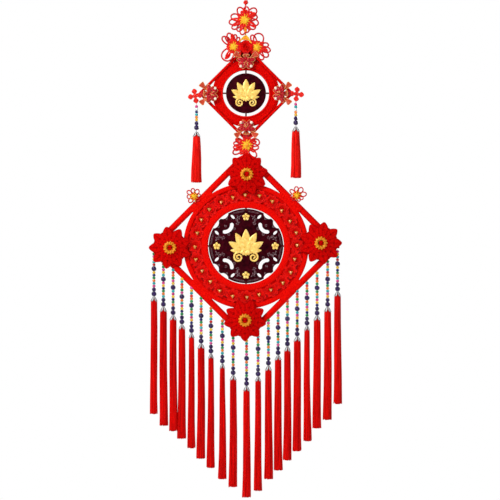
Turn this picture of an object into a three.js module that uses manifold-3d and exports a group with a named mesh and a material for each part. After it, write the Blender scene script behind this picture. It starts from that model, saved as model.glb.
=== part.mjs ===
// A Chinese knot wall hanging: cord rosettes, a small and a large frame set on their corners,
// a disc in each, velvet flowers, and nineteen bead strings with tassels.
// Millimetres. x runs to the right, z up, and the front faces -y.
// The origin is where a nail bears, under the top of the hanging loop.
import * as THREE from "three";
import { mergeVertices } from "three/addons/utils/BufferGeometryUtils.js";
import Module from "manifold-3d";

const wasm = await Module();
wasm.setup();

// Driving dimensions
const AIR = 0.3; // left between pieces that touch
const CORD = 1.5; // radius of the knotting cord
const BACK = 7.5; // y of the plane that lies against a wall
const LOOP_RISE = 1.5; // height of the loop's centre line over the nail
const BUTTON = { x: -0.5, z: -60, radius: 5.2 };

const SMALL = {
  z: -278, // centre of the small frame
  edge: 81.6, // from the centre to each outer side
  strip: 7.2, // width of the strip along each side
  ringInner: 55.2,
  ringOuter: 80.4,
  halfDepth: 5,
  disc: 48,
  discHalfDepth: 2.5,
};

const LARGE = {
  z: -644.5, // centre of the large frame
  tubeLine: 155.4, // from the centre to a tube's centre line
  tubeHalf: 7.5, // half of a tube's width and depth
  tubeTrim: 29, // a tube stops this far short of its corner
  ringInner: 91,
  ringOuter: 150.4,
  roseLine: 122.5,
  roses: 24,
  disc: 88,
  discHalfDepth: 3,
};

const FLOWER = { reach: 51.5, notch: 37, petals: 9, backing: 35, spacer: 22, coil: 16.5 };
// Where each velvet flower sits, and the way its first petal points, in degrees
const FLOWERS = [
  { name: "flower_top", x: 1.7, z: -472.8, points: 90 },
  { name: "flower_left", x: -181.9, z: -648.5, points: 180, tab: { x: -218.5, z: -650 } },
  { name: "flower_right", x: 179, z: -637.4, points: 0, tab: { x: 218, z: -645 } },
  { name: "flower_bottom", x: -2.4, z: -821.8, points: 270, tab: { x: 1.4, z: -858 } },
];

// Bead strings, left to right: x, the top of the tassel, its length, and its width at head and foot
const STRINGS = [
  { x: -220.6, top: -775, length: 273, head: 15, foot: 17 },
  { x: -198, top: -800, length: 276, head: 16, foot: 19 },
  { x: -174.7, top: -820, length: 269, head: 16, foot: 19 },
  { x: -153.6, top: -842, length: 265, head: 15, foot: 20 },
  { x: -130.6, top: -863, length: 267, head: 12, foot: 18 },
  { x: -107.5, top: -888, length: 267, head: 16, foot: 20 },
  { x: -84, top: -912, length: 265, head: 12, foot: 18 },
  { x: -56.6, top: -936, length: 268, head: 11, foot: 19 },
  { x: -30.7, top: -964, length: 259, head: 15, foot: 20 },
  { x: 1.4, top: -990, length: 258, head: 15, foot: 20 },
  { x: 29, top: -967, length: 265, head: 13, foot: 18 },
  { x: 53.8, top: -941, length: 263, head: 15, foot: 20 },
  { x: 77, top: -916, length: 267, head: 15, foot: 20 },
  { x: 99.4, top: -895, length: 264, head: 15, foot: 19 },
  { x: 122.9, top: -871, length: 266, head: 16, foot: 20 },
  { x: 146.4, top: -845, length: 268, head: 12, foot: 18 },
  { x: 170.6, top: -821, length: 261, head: 16, foot: 20 },
  { x: 195.8, top: -800, length: 262, head: 16, foot: 20 },
  { x: 219.6, top: -763, length: 261, head: 15, foot: 19 },
];
const STRING_Y = -4; // the bead strings' and tassels' centre line
const STRING_RADIUS = 3.2;
// Bead string and metal cap over a tassel's head: height above the tassel's top, and radius
const BEADS = [
  { above: 11, radius: 2.8 },
  { above: 16, radius: 6 },
  { above: 21.5, radius: 3 },
  { above: 26.4, radius: 4.8 },
  { above: 31, radius: STRING_RADIUS },
  { above: 70.5, radius: STRING_RADIUS },
  { above: 76.3, radius: 6 },
  { above: 82, radius: STRING_RADIUS },
];
const SIDE_BEADS = [
  { above: 11, radius: 2.6 },
  { above: 19.5, radius: 5.8 },
  { above: 25, radius: 3 },
  { above: 29.5, radius: 4.8 },
  { above: 34, radius: STRING_RADIUS },
];
const LOCKS = { outer: 6, inner: 2, root: 5, spare: 4 };

const RED = { color: 0xd01216, roughness: 0.8, metalness: 0 };
const SATIN = { color: 0xc41020, roughness: 0.45, metalness: 0 };
const GOLD = { color: 0xe9b034, roughness: 0.35, metalness: 0.6 };
const LACQUER = { color: 0x2c0a0c, roughness: 0.3, metalness: 0 };

const degrees = THREE.MathUtils.degToRad;

// A closed mesh as a solid: triangles with two corners in one place are dropped
function solid(geometry) {
  const bare = geometry.clone();
  bare.deleteAttribute("normal");
  bare.deleteAttribute("uv");
  const merged = mergeVertices(bare, 1e-3);
  const corners = merged.index.array;
  const kept = [];
  for (let i = 0; i < corners.length; i += 3) {
    const [a, b, c] = [corners[i], corners[i + 1], corners[i + 2]];
    if (a !== b && b !== c && c !== a) kept.push(a, b, c);
  }
  return new wasm.Manifold(
    new wasm.Mesh({
      numProp: 3,
      vertProperties: merged.attributes.position.array,
      triVerts: new Uint32Array(kept),
    }),
  );
}

function geometryOf(made) {
  const mesh = made.getMesh();
  const geometry = new THREE.BufferGeometry();
  geometry.setAttribute("position", new THREE.BufferAttribute(mesh.vertProperties, 3));
  geometry.setIndex(new THREE.BufferAttribute(mesh.triVerts, 1));
  return geometry;
}

// Several overlapping geometries as one, less what the cutters take away
function join(pieces, cutters = []) {
  let made = pieces.map(solid).reduce((sum, piece) => sum.add(piece));
  for (const cutter of cutters) made = made.subtract(solid(cutter));
  return geometryOf(made);
}

// Moves each corner of a geometry to where move(x, y, z) says
function reshape(geometry, move) {
  const places = geometry.attributes.position;
  for (let i = 0; i < places.count; i++) {
    const [x, y, z] = move(places.getX(i), places.getY(i), places.getZ(i));
    places.setXYZ(i, x, y, z);
  }
  return geometry;
}

// A flat plate with this outline in x and z, from y = back forward
function plate(shape, thickness, back) {
  const geometry = new THREE.ExtrudeGeometry(shape, { depth: thickness, bevelEnabled: false });
  return geometry.rotateX(Math.PI / 2).translate(0, back, 0);
}

// A turned piece that faces the front: profile rows are [radius, height in front of back]
function turned(profile, segments, back) {
  const points = profile.map(([radius, height]) => new THREE.Vector2(radius, height));
  return new THREE.LatheGeometry(points, segments).rotateX(Math.PI).translate(0, back, 0);
}

// A turned piece round an upright axis: profile rows are [radius, z]
function upright(profile, segments) {
  const points = profile.map(([radius, z]) => new THREE.Vector2(radius, z));
  return new THREE.LatheGeometry(points, segments).rotateX(Math.PI / 2);
}

function polygon(radius, sides, turn = 0) {
  const points = [];
  for (let i = 0; i < sides; i++) {
    const angle = turn + (2 * Math.PI * i) / sides;
    points.push(new THREE.Vector2(radius * Math.cos(angle), radius * Math.sin(angle)));
  }
  return points;
}

// A cord along a smooth curve through points [x, y, z]
function cord(points, radius, sides, steps) {
  const path = new THREE.CatmullRomCurve3(points.map((p) => new THREE.Vector3(...p)));
  const section = new THREE.Shape(polygon(radius, sides, Math.PI / sides));
  return new THREE.ExtrudeGeometry(section, { steps, extrudePath: path, bevelEnabled: false });
}

// The outward angle of a point round the origin of x and z, as a whole number of steps
function stepRound(x, z, steps) {
  return Math.round((Math.atan2(z, x) / (2 * Math.PI)) * steps + steps) % steps;
}

function hangingLoop() {
  // One leg of the loop, bottom to top: x, z
  const leg = [
    [1.6, BUTTON.z + 3],
    [4.2, -44],
    [7.6, -26],
    [8.6, -13],
    [6.2, -3.2],
  ];
  const left = leg.map(([x, z]) => [-x, 0, z]);
  const right = leg.map(([x, z]) => [x, 0, z]).reverse();
  const loop = cord([...left, [0, 0, LOOP_RISE], ...right], CORD, 5, 16);
  const button = new THREE.SphereGeometry(BUTTON.radius, 8, 6);
  const ridge = (x, z) => 1 + 0.08 * Math.cos(2 * x) * Math.cos(2 * z);
  reshape(button, (x, y, z) => [x * ridge(x, z), y * ridge(x, z), z * ridge(x, z)]);
  button.translate(BUTTON.x, 0, BUTTON.z);
  const stemBack = 2.1 + AIR + 1.8;
  const stem = cord(
    [
      [BUTTON.x, 2.4, BUTTON.z - 2],
      [-1, stemBack, -67.5],
      [-1.6, stemBack, -76],
      [-2.4, stemBack, -88],
      [-3.1, stemBack, -98],
    ],
    1.8,
    5,
    5,
  );
  return join([loop, button, stem]);
}

// One loop of a rosette: out from the hub, round its tip and back
function cordLoop(hub, angle, reach, halfWidth, radius, steps) {
  const tip = reach - radius;
  const side = [
    [hub.radius * 0.5, 0.8],
    [reach * 0.46, halfWidth * 0.55],
    [reach * 0.72, halfWidth - radius],
    [reach * 0.91, halfWidth * 0.58],
  ];
  const route = [...side, [tip, 0], ...side.map(([u, v]) => [u, -v]).reverse()];
  const [c, s] = [Math.cos(degrees(angle)), Math.sin(degrees(angle))];
  const points = route.map(([u, v]) => [hub.x + u * c - v * s, hub.y, hub.z + u * s + v * c]);
  return cord(points, radius * 1.12, 4, steps);
}

function rosetteHub(hub, halfDepth) {
  const profile = [
    [0, -halfDepth],
    [hub.radius, -halfDepth],
    [hub.radius, halfDepth - 0.2],
    [0, halfDepth],
  ];
  return turned(profile, 9, 0).translate(hub.x, hub.y, hub.z);
}

// Loops in a fan: each row is an angle in degrees and the loop's reach
function rosette(hub, loops, { halfWidth = 8.2, radius = CORD, steps = 6, extras = [] } = {}) {
  const pieces = loops.map(([angle, reach]) =>
    cordLoop(hub, angle, reach, halfWidth, radius, steps),
  );
  return join([rosetteHub(hub, hub.halfDepth), ...pieces, ...extras]);
}

const TOP_HUB = { x: -3.1, y: 0, z: -102.2, radius: 11, halfDepth: 2.1 };
const LEFT_HUB = { x: -29.8, y: -6.8, z: -166.8, radius: 10, halfDepth: 1.5 };
const RIGHT_HUB = { x: 26.4, y: -6.8, z: -168.7, radius: 10, halfDepth: 1.5 };
const MIDDLE_HUB = { x: 1.9, y: -6.8, z: -403, radius: 11, halfDepth: 1.5 };
const TOP_LOOPS = [
  [18, 33],
  [43, 40],
  [81, 34],
  [117, 35],
  [163, 36],
  [188, 38.5],
  [213, 37.5],
  [260, 37],
  [285, 33],
  [315, 33],
  [345, 36],
];
const LEFT_LOOPS = [
  [55, 29],
  [82, 33],
  [110, 37],
  [146, 35],
  [180, 30],
  [208, 32],
  [242, 41],
];
const RIGHT_LOOPS = [
  [122, 34],
  [88, 36],
  [52, 31],
  [18, 31],
  [-13, 35],
  [-36, 34],
  [-62, 35],
];
const MIDDLE_LOOPS = [
  [20, 32],
  [45, 32],
  [135, 30],
  [158, 32],
  [180, 34],
  [203, 36],
  [228, 39],
  [-20, 27],
  [-52, 37],
];
const CENTRE_KNOT = { x: -0.5, y: -3, z: -155, radius: 5.5 };

function rosettePair() {
  const knot = new THREE.SphereGeometry(CENTRE_KNOT.radius, 8, 5);
  knot.translate(CENTRE_KNOT.x, CENTRE_KNOT.y, CENTRE_KNOT.z);
  const arch = cord(
    [
      [LEFT_HUB.x + 4, LEFT_HUB.y, LEFT_HUB.z],
      [-15, -6, -160],
      [CENTRE_KNOT.x, CENTRE_KNOT.y, CENTRE_KNOT.z],
      [14, -6, -161],
      [RIGHT_HUB.x - 4, RIGHT_HUB.y, RIGHT_HUB.z],
    ],
    CORD * 1.2,
    4,
    6,
  );
  const tie = cord(
    [
      [CENTRE_KNOT.x, CENTRE_KNOT.y, CENTRE_KNOT.z],
      [CENTRE_KNOT.x, LEFT_HUB.y, -162],
      [CENTRE_KNOT.x, LEFT_HUB.y, -177],
    ],
    CORD,
    4,
    4,
  );
  const right = rosette(RIGHT_HUB, RIGHT_LOOPS);
  return rosette(LEFT_HUB, LEFT_LOOPS, { extras: [right, arch, tie] });
}

function middleRosette() {
  // Over the small frame's corner above, and down to the backing of the top flower
  const backingTop = FLOWERS[0].z + FLOWER.backing + 1;
  const stem = cord(
    [
      [0.5, MIDDLE_HUB.y, SMALL.z - 104],
      [MIDDLE_HUB.x, MIDDLE_HUB.y, MIDDLE_HUB.z],
      [MIDDLE_HUB.x, MIDDLE_HUB.y, MIDDLE_HUB.z - 18],
      [FLOWERS[0].x, MIDDLE_HUB.y - 1.7, backingTop],
    ],
    CORD,
    4,
    6,
  );
  return rosette(MIDDLE_HUB, MIDDLE_LOOPS, { extras: [stem] });
}

const MINI = { reach: 19.5, cord: 1.3, hub: 6.5, loops: 7 };
function miniRosette(x, z) {
  // Its loops lie over the tube, its hub just outside of it
  const y = -LARGE.tubeHalf - AIR - MINI.cord * 1.12;
  const hub = { x, y, z, radius: MINI.hub, halfDepth: 1.6 };
  const loops = [];
  for (let i = 0; i < MINI.loops; i++) {
    loops.push([(360 * i) / MINI.loops + 12, MINI.reach - (i % 2) * 2]);
  }
  return rosette(hub, loops, { halfWidth: 5.6, radius: MINI.cord, steps: 5 });
}

// A star with its points alternately long and short, its flat back at y = 0
function starPoints(reach, rays, height) {
  const profile = [
    [0, 0],
    [reach, 0],
    [reach * 0.5, height * 0.7],
    [0, height],
  ];
  const short = 0.5;
  return reshape(turned(profile, rays * 2, 0), (x, y, z) => {
    const scale = stepRound(x, z, rays * 2) % 2 && Math.hypot(x, z) > reach * 0.8 ? short : 1;
    return [x * scale, y, z * scale];
  });
}

function goldStar(hub, reach) {
  const front = hub.y - hub.halfDepth - AIR;
  return join([starPoints(reach, 12, 4)]).translate(hub.x, front, hub.z);
}

function goldLink() {
  const back = TOP_HUB.halfDepth + AIR + CORD;
  const foot = CENTRE_KNOT.z + CENTRE_KNOT.radius + AIR + 0.4;
  const route = [
    [-3, back, TOP_HUB.z + 1],
    [-2.4, back, -114],
    [-1.4, back, -132],
    [-0.7, 1.5, -142],
    [CENTRE_KNOT.x, CENTRE_KNOT.y + 1, foot],
  ];
  return join([cord(route, CORD, 5, 7)]);
}

// A ribbon rose: a cup of petals that turns as it rises
function rose(radius, height, sides) {
  const profile = [
    [0, 0],
    [radius, 0],
    [radius * 0.62, height],
    [0, height * 0.6],
  ];
  const twist = 1.1;
  return reshape(turned(profile, sides, 0), (x, y, z) => {
    const angle = (twist * -y) / height;
    const [c, s] = [Math.cos(angle), Math.sin(angle)];
    return [x * c - z * s, y, x * s + z * c];
  });
}

function topRose() {
  return join([rose(12, 11, 9)]).translate(-0.5, -9.2, -167);
}

function smallFrame() {
  const { edge, strip, ringInner, ringOuter, halfDepth } = SMALL;
  const shape = new THREE.Shape(polygon(edge * Math.SQRT2, 4));
  shape.holes.push(new THREE.Path(polygon(ringInner, 40)));
  const inner = edge - strip;
  const reach = Math.PI / 4 - Math.acos(inner / ringOuter);
  for (let quarter = 0; quarter < 4; quarter++) {
    const middle = (quarter * Math.PI) / 2;
    const gap = [-1, -0.5, 0, 0.5, 1].map((share) => {
      const angle = middle + share * reach;
      return new THREE.Vector2(ringOuter * Math.cos(angle), ringOuter * Math.sin(angle));
    });
    const corner = inner * Math.SQRT2;
    gap.push(new THREE.Vector2(corner * Math.cos(middle), corner * Math.sin(middle)));
    shape.holes.push(new THREE.Path(gap));
  }
  return join([plate(shape, halfDepth * 2, halfDepth)]).translate(0, 0, SMALL.z);
}

// Four short pegs round a disc, each from just inside its rim to its ring
function pegs(from, to, radius) {
  return [0, 90, 180, 270].map((angle) => {
    const peg = new THREE.CylinderGeometry(radius, radius, to - from, 5);
    peg.rotateZ(Math.PI / 2).translate((from + to) / 2, 0, 0);
    return peg.rotateY(degrees(angle));
  });
}

function smallDisc() {
  const { disc, discHalfDepth, ringInner } = SMALL;
  const body = plate(new THREE.Shape(polygon(disc, 36)), discHalfDepth * 2, discHalfDepth);
  return join([body, ...pegs(disc - 2, ringInner - 2 * AIR, 1.3)]).translate(0, 0, SMALL.z);
}

// The large disc's rim: full but for two shallow bites and a nose on each diagonal
function piercedOutline(radius) {
  const points = [];
  const [noseHalf, biteHalf, biteDepth] = [2.5, 16.5, 8];
  for (let step = 0; step < 48; step++) {
    const angle = (360 * step) / 48;
    const off = Math.abs((angle % 90) - 45);
    const share = (off - noseHalf) / (biteHalf - noseHalf);
    const depth = share > 0 && share < 1 ? biteDepth * Math.sin(Math.PI * share) ** 0.6 : 0;
    const reach = radius - depth;
    const turn = degrees(angle);
    points.push(new THREE.Vector2(reach * Math.cos(turn), reach * Math.sin(turn)));
  }
  return points;
}

// A slot with round ends, bent round a centre on the diagonal, its back to the disc's middle
function bentSlot(diagonal, centreLine, radius, halfWidth, halfSpan) {
  const [cx, cz] = [centreLine * Math.cos(diagonal), centreLine * Math.sin(diagonal)];
  const at = (distance, angle) =>
    new THREE.Vector2(cx + distance * Math.cos(angle), cz + distance * Math.sin(angle));
  const inward = diagonal + Math.PI;
  const shares = [-1, -0.4, 0.4, 1];
  const outer = shares.map((share) => at(radius + halfWidth, inward + share * halfSpan));
  const inner = shares.map((share) => at(radius - halfWidth, inward - share * halfSpan));
  const cap = halfSpan + halfWidth / radius;
  return [...outer, at(radius, inward + cap), ...inner, at(radius, inward - cap)];
}

function ovalHole(angle, distance, diagonal, long, short) {
  return polygon(1, 6).map((p) => {
    const [u, v] = [p.x * long, p.y * short];
    const [c, s] = [Math.cos(diagonal), Math.sin(diagonal)];
    const [x, z] = [distance * Math.cos(angle), distance * Math.sin(angle)];
    return new THREE.Vector2(x + u * c - v * s, z + u * s + v * c);
  });
}

function largeDisc() {
  const { disc, discHalfDepth, ringInner } = LARGE;
  const shape = new THREE.Shape(piercedOutline(disc));
  for (const diagonal of [45, 135, 225, 315].map(degrees)) {
    shape.holes.push(new THREE.Path(bentSlot(diagonal, 72.4, 17.2, 3.9, degrees(50))));
    for (const side of [-1, 1]) {
      const angle = diagonal + side * degrees(20.5);
      shape.holes.push(new THREE.Path(ovalHole(angle, 77, diagonal, 6, 3)));
    }
  }
  const body = plate(shape, discHalfDepth * 2, discHalfDepth);
  return join([body, ...pegs(disc - 2, ringInner - 2 * AIR, 1.8)]).translate(0, 0, LARGE.z);
}

// A pointed petal in x and z, from its root along an angle
function petalShape(root, angle, length, halfWidth) {
  const side = [
    [0, 0.4],
    [0.45, 1],
    [0.8, 0.62],
  ];
  const route = [...side, [1, 0], ...side.map(([u, v]) => [u, -v]).reverse()];
  const [c, s] = [Math.cos(degrees(angle)), Math.sin(degrees(angle))];
  const points = route.map(([u, v]) => {
    const [along, across] = [u * length, v * halfWidth];
    const [x, z] = [root[0] + along * c - across * s, root[1] + along * s + across * c];
    return new THREE.Vector2(x, z);
  });
  return new THREE.Shape(points.reverse());
}

// A lotus over two cloud curls: a plain ornament that fills the middle of each disc
const LOTUS = { root: -14, depth: 2.6, curl: 13.5, curlX: 18, curlZ: -27, eye: 4.6, seat: 9 };
const LOTUS_PETALS = [
  { x: 0, angle: 90, length: 55, halfWidth: 12 },
  { x: 2, angle: 60, length: 52, halfWidth: 11.5 },
  { x: -2, angle: 120, length: 52, halfWidth: 11.5 },
  { x: 4, angle: 29, length: 46, halfWidth: 11 },
  { x: -4, angle: 151, length: 46, halfWidth: 11 },
];
const LOTUS_SLOTS = [45, 75, 105, 135]; // the dark cuts between the petals, in degrees
function lotus(scale, front, z) {
  const { root, depth, curl, curlX, curlZ, eye, seat } = LOTUS;
  const pieces = LOTUS_PETALS.map(({ x, angle, length, halfWidth }) =>
    plate(petalShape([x, root], angle, length, halfWidth), depth, 0),
  );
  pieces.push(plate(new THREE.Shape(polygon(seat, 8)), depth, 0).translate(0, 0, root - 3));
  const cutters = LOTUS_SLOTS.map((angle) => {
    const lens = [
      [15, 0],
      [24, 1.3],
      [35, 0],
      [24, -1.3],
    ];
    const points = lens.map(([u, v]) => new THREE.Vector2(u, v));
    const slot = plate(new THREE.Shape(points.reverse()), depth + 2, 1);
    return slot.rotateY(-degrees(angle)).translate(0, 0, root);
  });
  for (const side of [-1, 1]) {
    const cloud = plate(new THREE.Shape(polygon(curl, 10)), depth, 0);
    pieces.push(cloud.translate(side * curlX, 0, curlZ));
    const hole = plate(new THREE.Shape(polygon(eye, 6)), depth + 2, 1);
    cutters.push(hole.translate(side * curlX, 0, curlZ));
  }
  return join(pieces, cutters).scale(scale, 1, scale).translate(0, front - AIR, z);
}

function largeRing() {
  const { ringInner, ringOuter, tubeHalf } = LARGE;
  const [rim, floor] = [BACK + tubeHalf, BACK + 4];
  const profile = [
    [ringInner, 0],
    [ringOuter, 0],
    [ringOuter, rim - 2.5],
    [ringOuter - 4.5, rim],
    [ringOuter - 8.5, floor],
    [ringInner + 18, floor],
    [ringInner + 11, rim],
    [ringInner, rim - 4],
    [ringInner, 0],
  ];
  const ring = turned(profile, 36, BACK).translate(0, 0, LARGE.z);
  // Its rim reaches a little way under the tubes, so each tube's room is cut out of it
  return join([ring], [45, 135, 225, 315].map((angle) => tube(angle, AIR)));
}

function roseBand() {
  const { roseLine, roses } = LARGE;
  const floor = -4 - AIR;
  const band = [
    [roseLine - 10, 0],
    [roseLine + 10, 0],
    [roseLine + 10, 1.5],
    [roseLine - 10, 1.5],
    [roseLine - 10, 0],
  ];
  const pieces = [turned(band, roses, floor)];
  for (let i = 0; i < roses; i++) {
    const angle = degrees((360 * i) / roses);
    const bud = rose(13.4, 10, 6).rotateY(i).translate(0, floor - 0.8, 0);
    pieces.push(bud.translate(roseLine * Math.cos(angle), 0, roseLine * Math.sin(angle)));
  }
  return join(pieces).translate(0, 0, LARGE.z);
}

// A tube's geometry along one side of the large frame; grow makes it thicker for a cutter
function tube(angle, grow = 0) {
  const { tubeLine, tubeHalf, tubeTrim } = LARGE;
  const radius = (tubeHalf + grow) / Math.cos(Math.PI / 8);
  const length = 2 * (tubeLine - tubeTrim + grow);
  const section = new THREE.Shape(polygon(radius, 8, Math.PI / 8));
  const bar = new THREE.ExtrudeGeometry(section, { depth: length, bevelEnabled: false });
  bar.translate(0, 0, -length / 2).rotateY(Math.PI / 2).translate(0, 0, tubeLine);
  return bar.rotateY(degrees(angle)).translate(0, 0, LARGE.z);
}

// A velvet flower: nine pointed petals, a shorter ring of petals over them and a round seat
function velvetFlower({ x, z, points, tab }) {
  const { reach, notch, petals, backing, spacer, coil } = FLOWER;
  const petalBack = -15.3;
  const profile = [
    [0, 0],
    [1, 0],
    [1, 1.6],
    [0.62, 4.4],
    [0.48, 7.6],
    [0, 8.6],
  ];
  const shape = [1, (reach * 0.88) / reach, notch / reach, (reach * 0.88) / reach];
  const head = reshape(turned(profile, petals * 4, 0), (px, py, pz) => {
    const share = Math.hypot(px, pz);
    const step = stepRound(px, pz, petals * 4) % 4;
    const outline = share > 0.7 ? shape[step] : 1;
    const lift = share > 0.7 ? [1.2, 0, -0.9, 0][step] : [-1.4, 0, 0.6, 0][step];
    const moved = share > 0.35 && py < -2 ? py - lift : py;
    return [px * outline * reach, moved, pz * outline * reach];
  });
  head.rotateY(-degrees(points)).translate(0, petalBack, 0);
  const board = [
    [0, 0],
    [backing, 0],
    [backing, 2.5],
    [spacer, 2.5],
    [spacer, 8.2],
    [0, 8.2],
  ];
  const bossHeight = petalBack - 12;
  const boss = turned([[0, 0], [5.5, 0], [4, 2.4], [0, 3.4]], 7, bossHeight + 4);
  const back = -LARGE.tubeHalf - AIR;
  const pieces = [head, turned(board, 12, back), boss].map((g) => g.translate(x, 0, z));
  if (tab) {
    const block = new THREE.BoxGeometry(12, -back, 10);
    pieces.push(block.translate(tab.x, (back - 1) / 2 - 0.5, tab.z));
  }
  return join(pieces);
}

// A coiled gold cord round the flower's seat, with a lump for each coil
function goldCoil({ x, z }) {
  const lumps = 9;
  const { coil } = FLOWER;
  const profile = [
    [coil * 0.42, 0],
    [coil, 0],
    [coil * 0.92, 3.4],
    [coil * 0.62, 5],
    [coil * 0.42, 0],
  ];
  const ring = reshape(turned(profile, lumps * 2, 0), (px, py, pz) => {
    const between = stepRound(px, pz, lumps * 2) % 2;
    const scale = between && Math.hypot(px, pz) > coil * 0.6 ? 0.88 : 1;
    return [px * scale, between ? py * 0.8 : py, pz * scale];
  });
  return join([ring]).translate(x, -15.3 - 8.6 - AIR, z);
}

// A gold-edged satin applique. Its two pearl lobes look along +x, its two fins the other way.
// Rows: angle in degrees, and how far the outline reaches
const APPLIQUE = [
  [0, 16],
  [20, 22],
  [38, 23],
  [56, 17],
  [74, 21],
  [98, 24],
  [118, 21],
  [132, 32],
  [146, 29],
  [160, 15],
];
function applique(x, z, facing) {
  const profile = [
    [0, 0],
    [0.96, 0],
    [1, 2],
    [0.7, 5.5],
    [0.4, 7],
    [0, 6.5],
  ];
  const half = APPLIQUE.slice(1);
  const round = [...APPLIQUE, [180, 17], ...half.map(([a, r]) => [360 - a, r]).reverse()];
  const body = reshape(turned(profile, round.length, 0), (px, py, pz) => {
    const share = Math.hypot(px, pz);
    const [angle, reach] = round[stepRound(px, pz, round.length)];
    const turn = degrees(angle);
    return [share * reach * Math.cos(turn), py, share * reach * Math.sin(turn)];
  });
  body.translate(0, -8.6, 0);
  const foot = turned([[0, 0], [8, 0], [8, 4.5], [0, 4.5]], 8, -SMALL.halfDepth - AIR);
  const pieces = [body, foot.translate(4, 0, 0)];
  return join(pieces.map((g) => g.rotateY(-degrees(facing)))).translate(x, 0, z);
}

// A clover knot with a lobe each way, and the cord that ties it over the frame's corner
function cloverKnot(x, z, turn, tie) {
  const points = [];
  for (let step = 0; step < 24; step++) {
    const angle = (2 * Math.PI * step) / 24;
    const lobe = Math.abs(Math.cos(2 * angle)) ** 0.7;
    const reach = 5 + 8.6 * lobe;
    const [c, s] = [Math.cos(angle + degrees(turn)), Math.sin(angle + degrees(turn))];
    points.push(new THREE.Vector2(reach * c, reach * s));
  }
  const body = plate(new THREE.Shape(points), 4, -SMALL.halfDepth - AIR).translate(x, 0, z);
  return join([body, cord(tie, CORD, 5, 6)]);
}

const CLOVERS = [
  { name: "clover_knot_left", x: -121.7, z: -285, turn: 10, side: -1 },
  { name: "clover_knot_right", x: 121.6, z: -280.5, turn: -6, side: 1 },
];
const SIDE_TASSELS = [
  { name: "side_tassel_left", x: -118.4, from: -299, top: -380, length: 113, head: 16, foot: 24 },
  { name: "side_tassel_right", x: 119.5, from: -294.8, top: -368, length: 114, head: 17, foot: 24 },
];

// One lock of a tassel, three-sided, from the head's underside down to its own length
function lock(angle, rootAt, footAt, rootSize, footSize, rootZ, footZ) {
  const section = new THREE.Shape(polygon(1, 3));
  const bar = new THREE.ExtrudeGeometry(section, { depth: 1, bevelEnabled: false });
  reshape(bar, (x, y, z) => {
    const [size, out] = z > 0.5 ? [rootSize, rootAt] : [footSize, footAt];
    return [out + x * size, y * size, z > 0.5 ? rootZ : footZ];
  });
  return bar.rotateZ(angle);
}

// A bead string, its metal cap, the tassel's head and its locks, in one
function tassel({ x, top, length, head, foot }, from, beads, cutters = []) {
  const root = head / 2;
  const profile = [
    [0, top - LOCKS.root],
    [root, top - LOCKS.root],
    [root, top - 1],
    [root * 0.72, top + 1],
    ...beads.map(({ above, radius }) => [radius, top + above]),
    [STRING_RADIUS, from],
    [0, from],
  ];
  const pieces = [upright(profile, 5)];
  const rings = [
    [LOCKS.outer, 0.68, 0.24],
    [LOCKS.inner, 0.26, 0.22],
  ];
  for (const [count, place, size] of rings) {
    for (let i = 0; i < count; i++) {
      const angle = (2 * Math.PI * (i + 0.5 * (count === LOCKS.inner))) / count;
      const short = LOCKS.spare * (1 + Math.sin(x + 2.4 * i + count));
      const [rootAt, footAt] = [place * root, (place * foot) / 2 + 0.4];
      const sizes = [size * root, (size * foot) / 2];
      const rootZ = top - LOCKS.root + 2;
      pieces.push(lock(angle, rootAt, footAt, ...sizes, rootZ, top - length + short));
    }
  }
  return join(pieces.map((g) => g.translate(x, STRING_Y, 0)), cutters);
}

// Where a bead string starts: under a tube, or under the tab of a flower
function stringTassel(row) {
  const tab = FLOWERS.map((flower) => flower.tab).find((t) => t && Math.abs(t.x - row.x) < 4);
  if (tab) return tassel(row, tab.z - 5 - AIR, BEADS);
  const outline = (LARGE.tubeLine + LARGE.tubeHalf) * Math.SQRT2 - Math.abs(row.x);
  const angle = row.x < 0 ? 225 : 135;
  return tassel(row, LARGE.z - outline + 7, BEADS, [tube(angle, AIR)]);
}

const hanging = new THREE.Group();
function add(name, geometry, look) {
  const mesh = new THREE.Mesh(geometry, new THREE.MeshStandardMaterial(look));
  mesh.name = name;
  hanging.add(mesh);
}

add("hanging_loop", hangingLoop(), SATIN);
add("rosette_top", rosette(TOP_HUB, TOP_LOOPS), SATIN);
add("rosette_pair", rosettePair(), SATIN);
add("rosette_middle", middleRosette(), SATIN);
add("star_top", goldStar(TOP_HUB, 15), GOLD);
add("star_left", goldStar(LEFT_HUB, 13), GOLD);
add("star_right", goldStar(RIGHT_HUB, 12), GOLD);
add("star_middle", goldStar(MIDDLE_HUB, 15), GOLD);
add("gold_link", goldLink(), GOLD);
add("top_rose", topRose(), RED);
add("small_frame", smallFrame(), RED);
add("small_disc", smallDisc(), LACQUER);
add("small_ornament", lotus(0.84, -SMALL.discHalfDepth, SMALL.z), GOLD);
add("applique_top", applique(0, SMALL.z + 77, -90), SATIN);
add("applique_left", applique(-86.5, SMALL.z - 1.5, 0), SATIN);
add("applique_right", applique(84, SMALL.z - 1, 180), SATIN);
add("applique_bottom", applique(0.5, SMALL.z - 84, 90), SATIN);
for (const { name, x, z, turn, side } of CLOVERS) {
  const tie = [
    [side * 108, -SMALL.halfDepth - AIR - CORD, SMALL.z - 1],
    [side * 113, -SMALL.halfDepth - AIR - CORD, SMALL.z - 2],
    [side * 119, -SMALL.halfDepth - AIR - CORD, z + 3],
    [x, -SMALL.halfDepth - AIR - CORD, z],
  ];
  add(name, cloverKnot(x, z, turn, tie), SATIN);
}
for (const row of SIDE_TASSELS) add(row.name, tassel(row, row.from, SIDE_BEADS), RED);
add("large_ring", largeRing(), RED);
["tube_upper_right", "tube_lower_right", "tube_lower_left", "tube_upper_left"].forEach((name, i) =>
  add(name, geometryOf(solid(tube(45 + 90 * i))), RED),
);
add("rose_band", roseBand(), RED);
add("large_disc", largeDisc(), LACQUER);
add("large_ornament", lotus(1, -LARGE.discHalfDepth, LARGE.z), GOLD);
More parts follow.
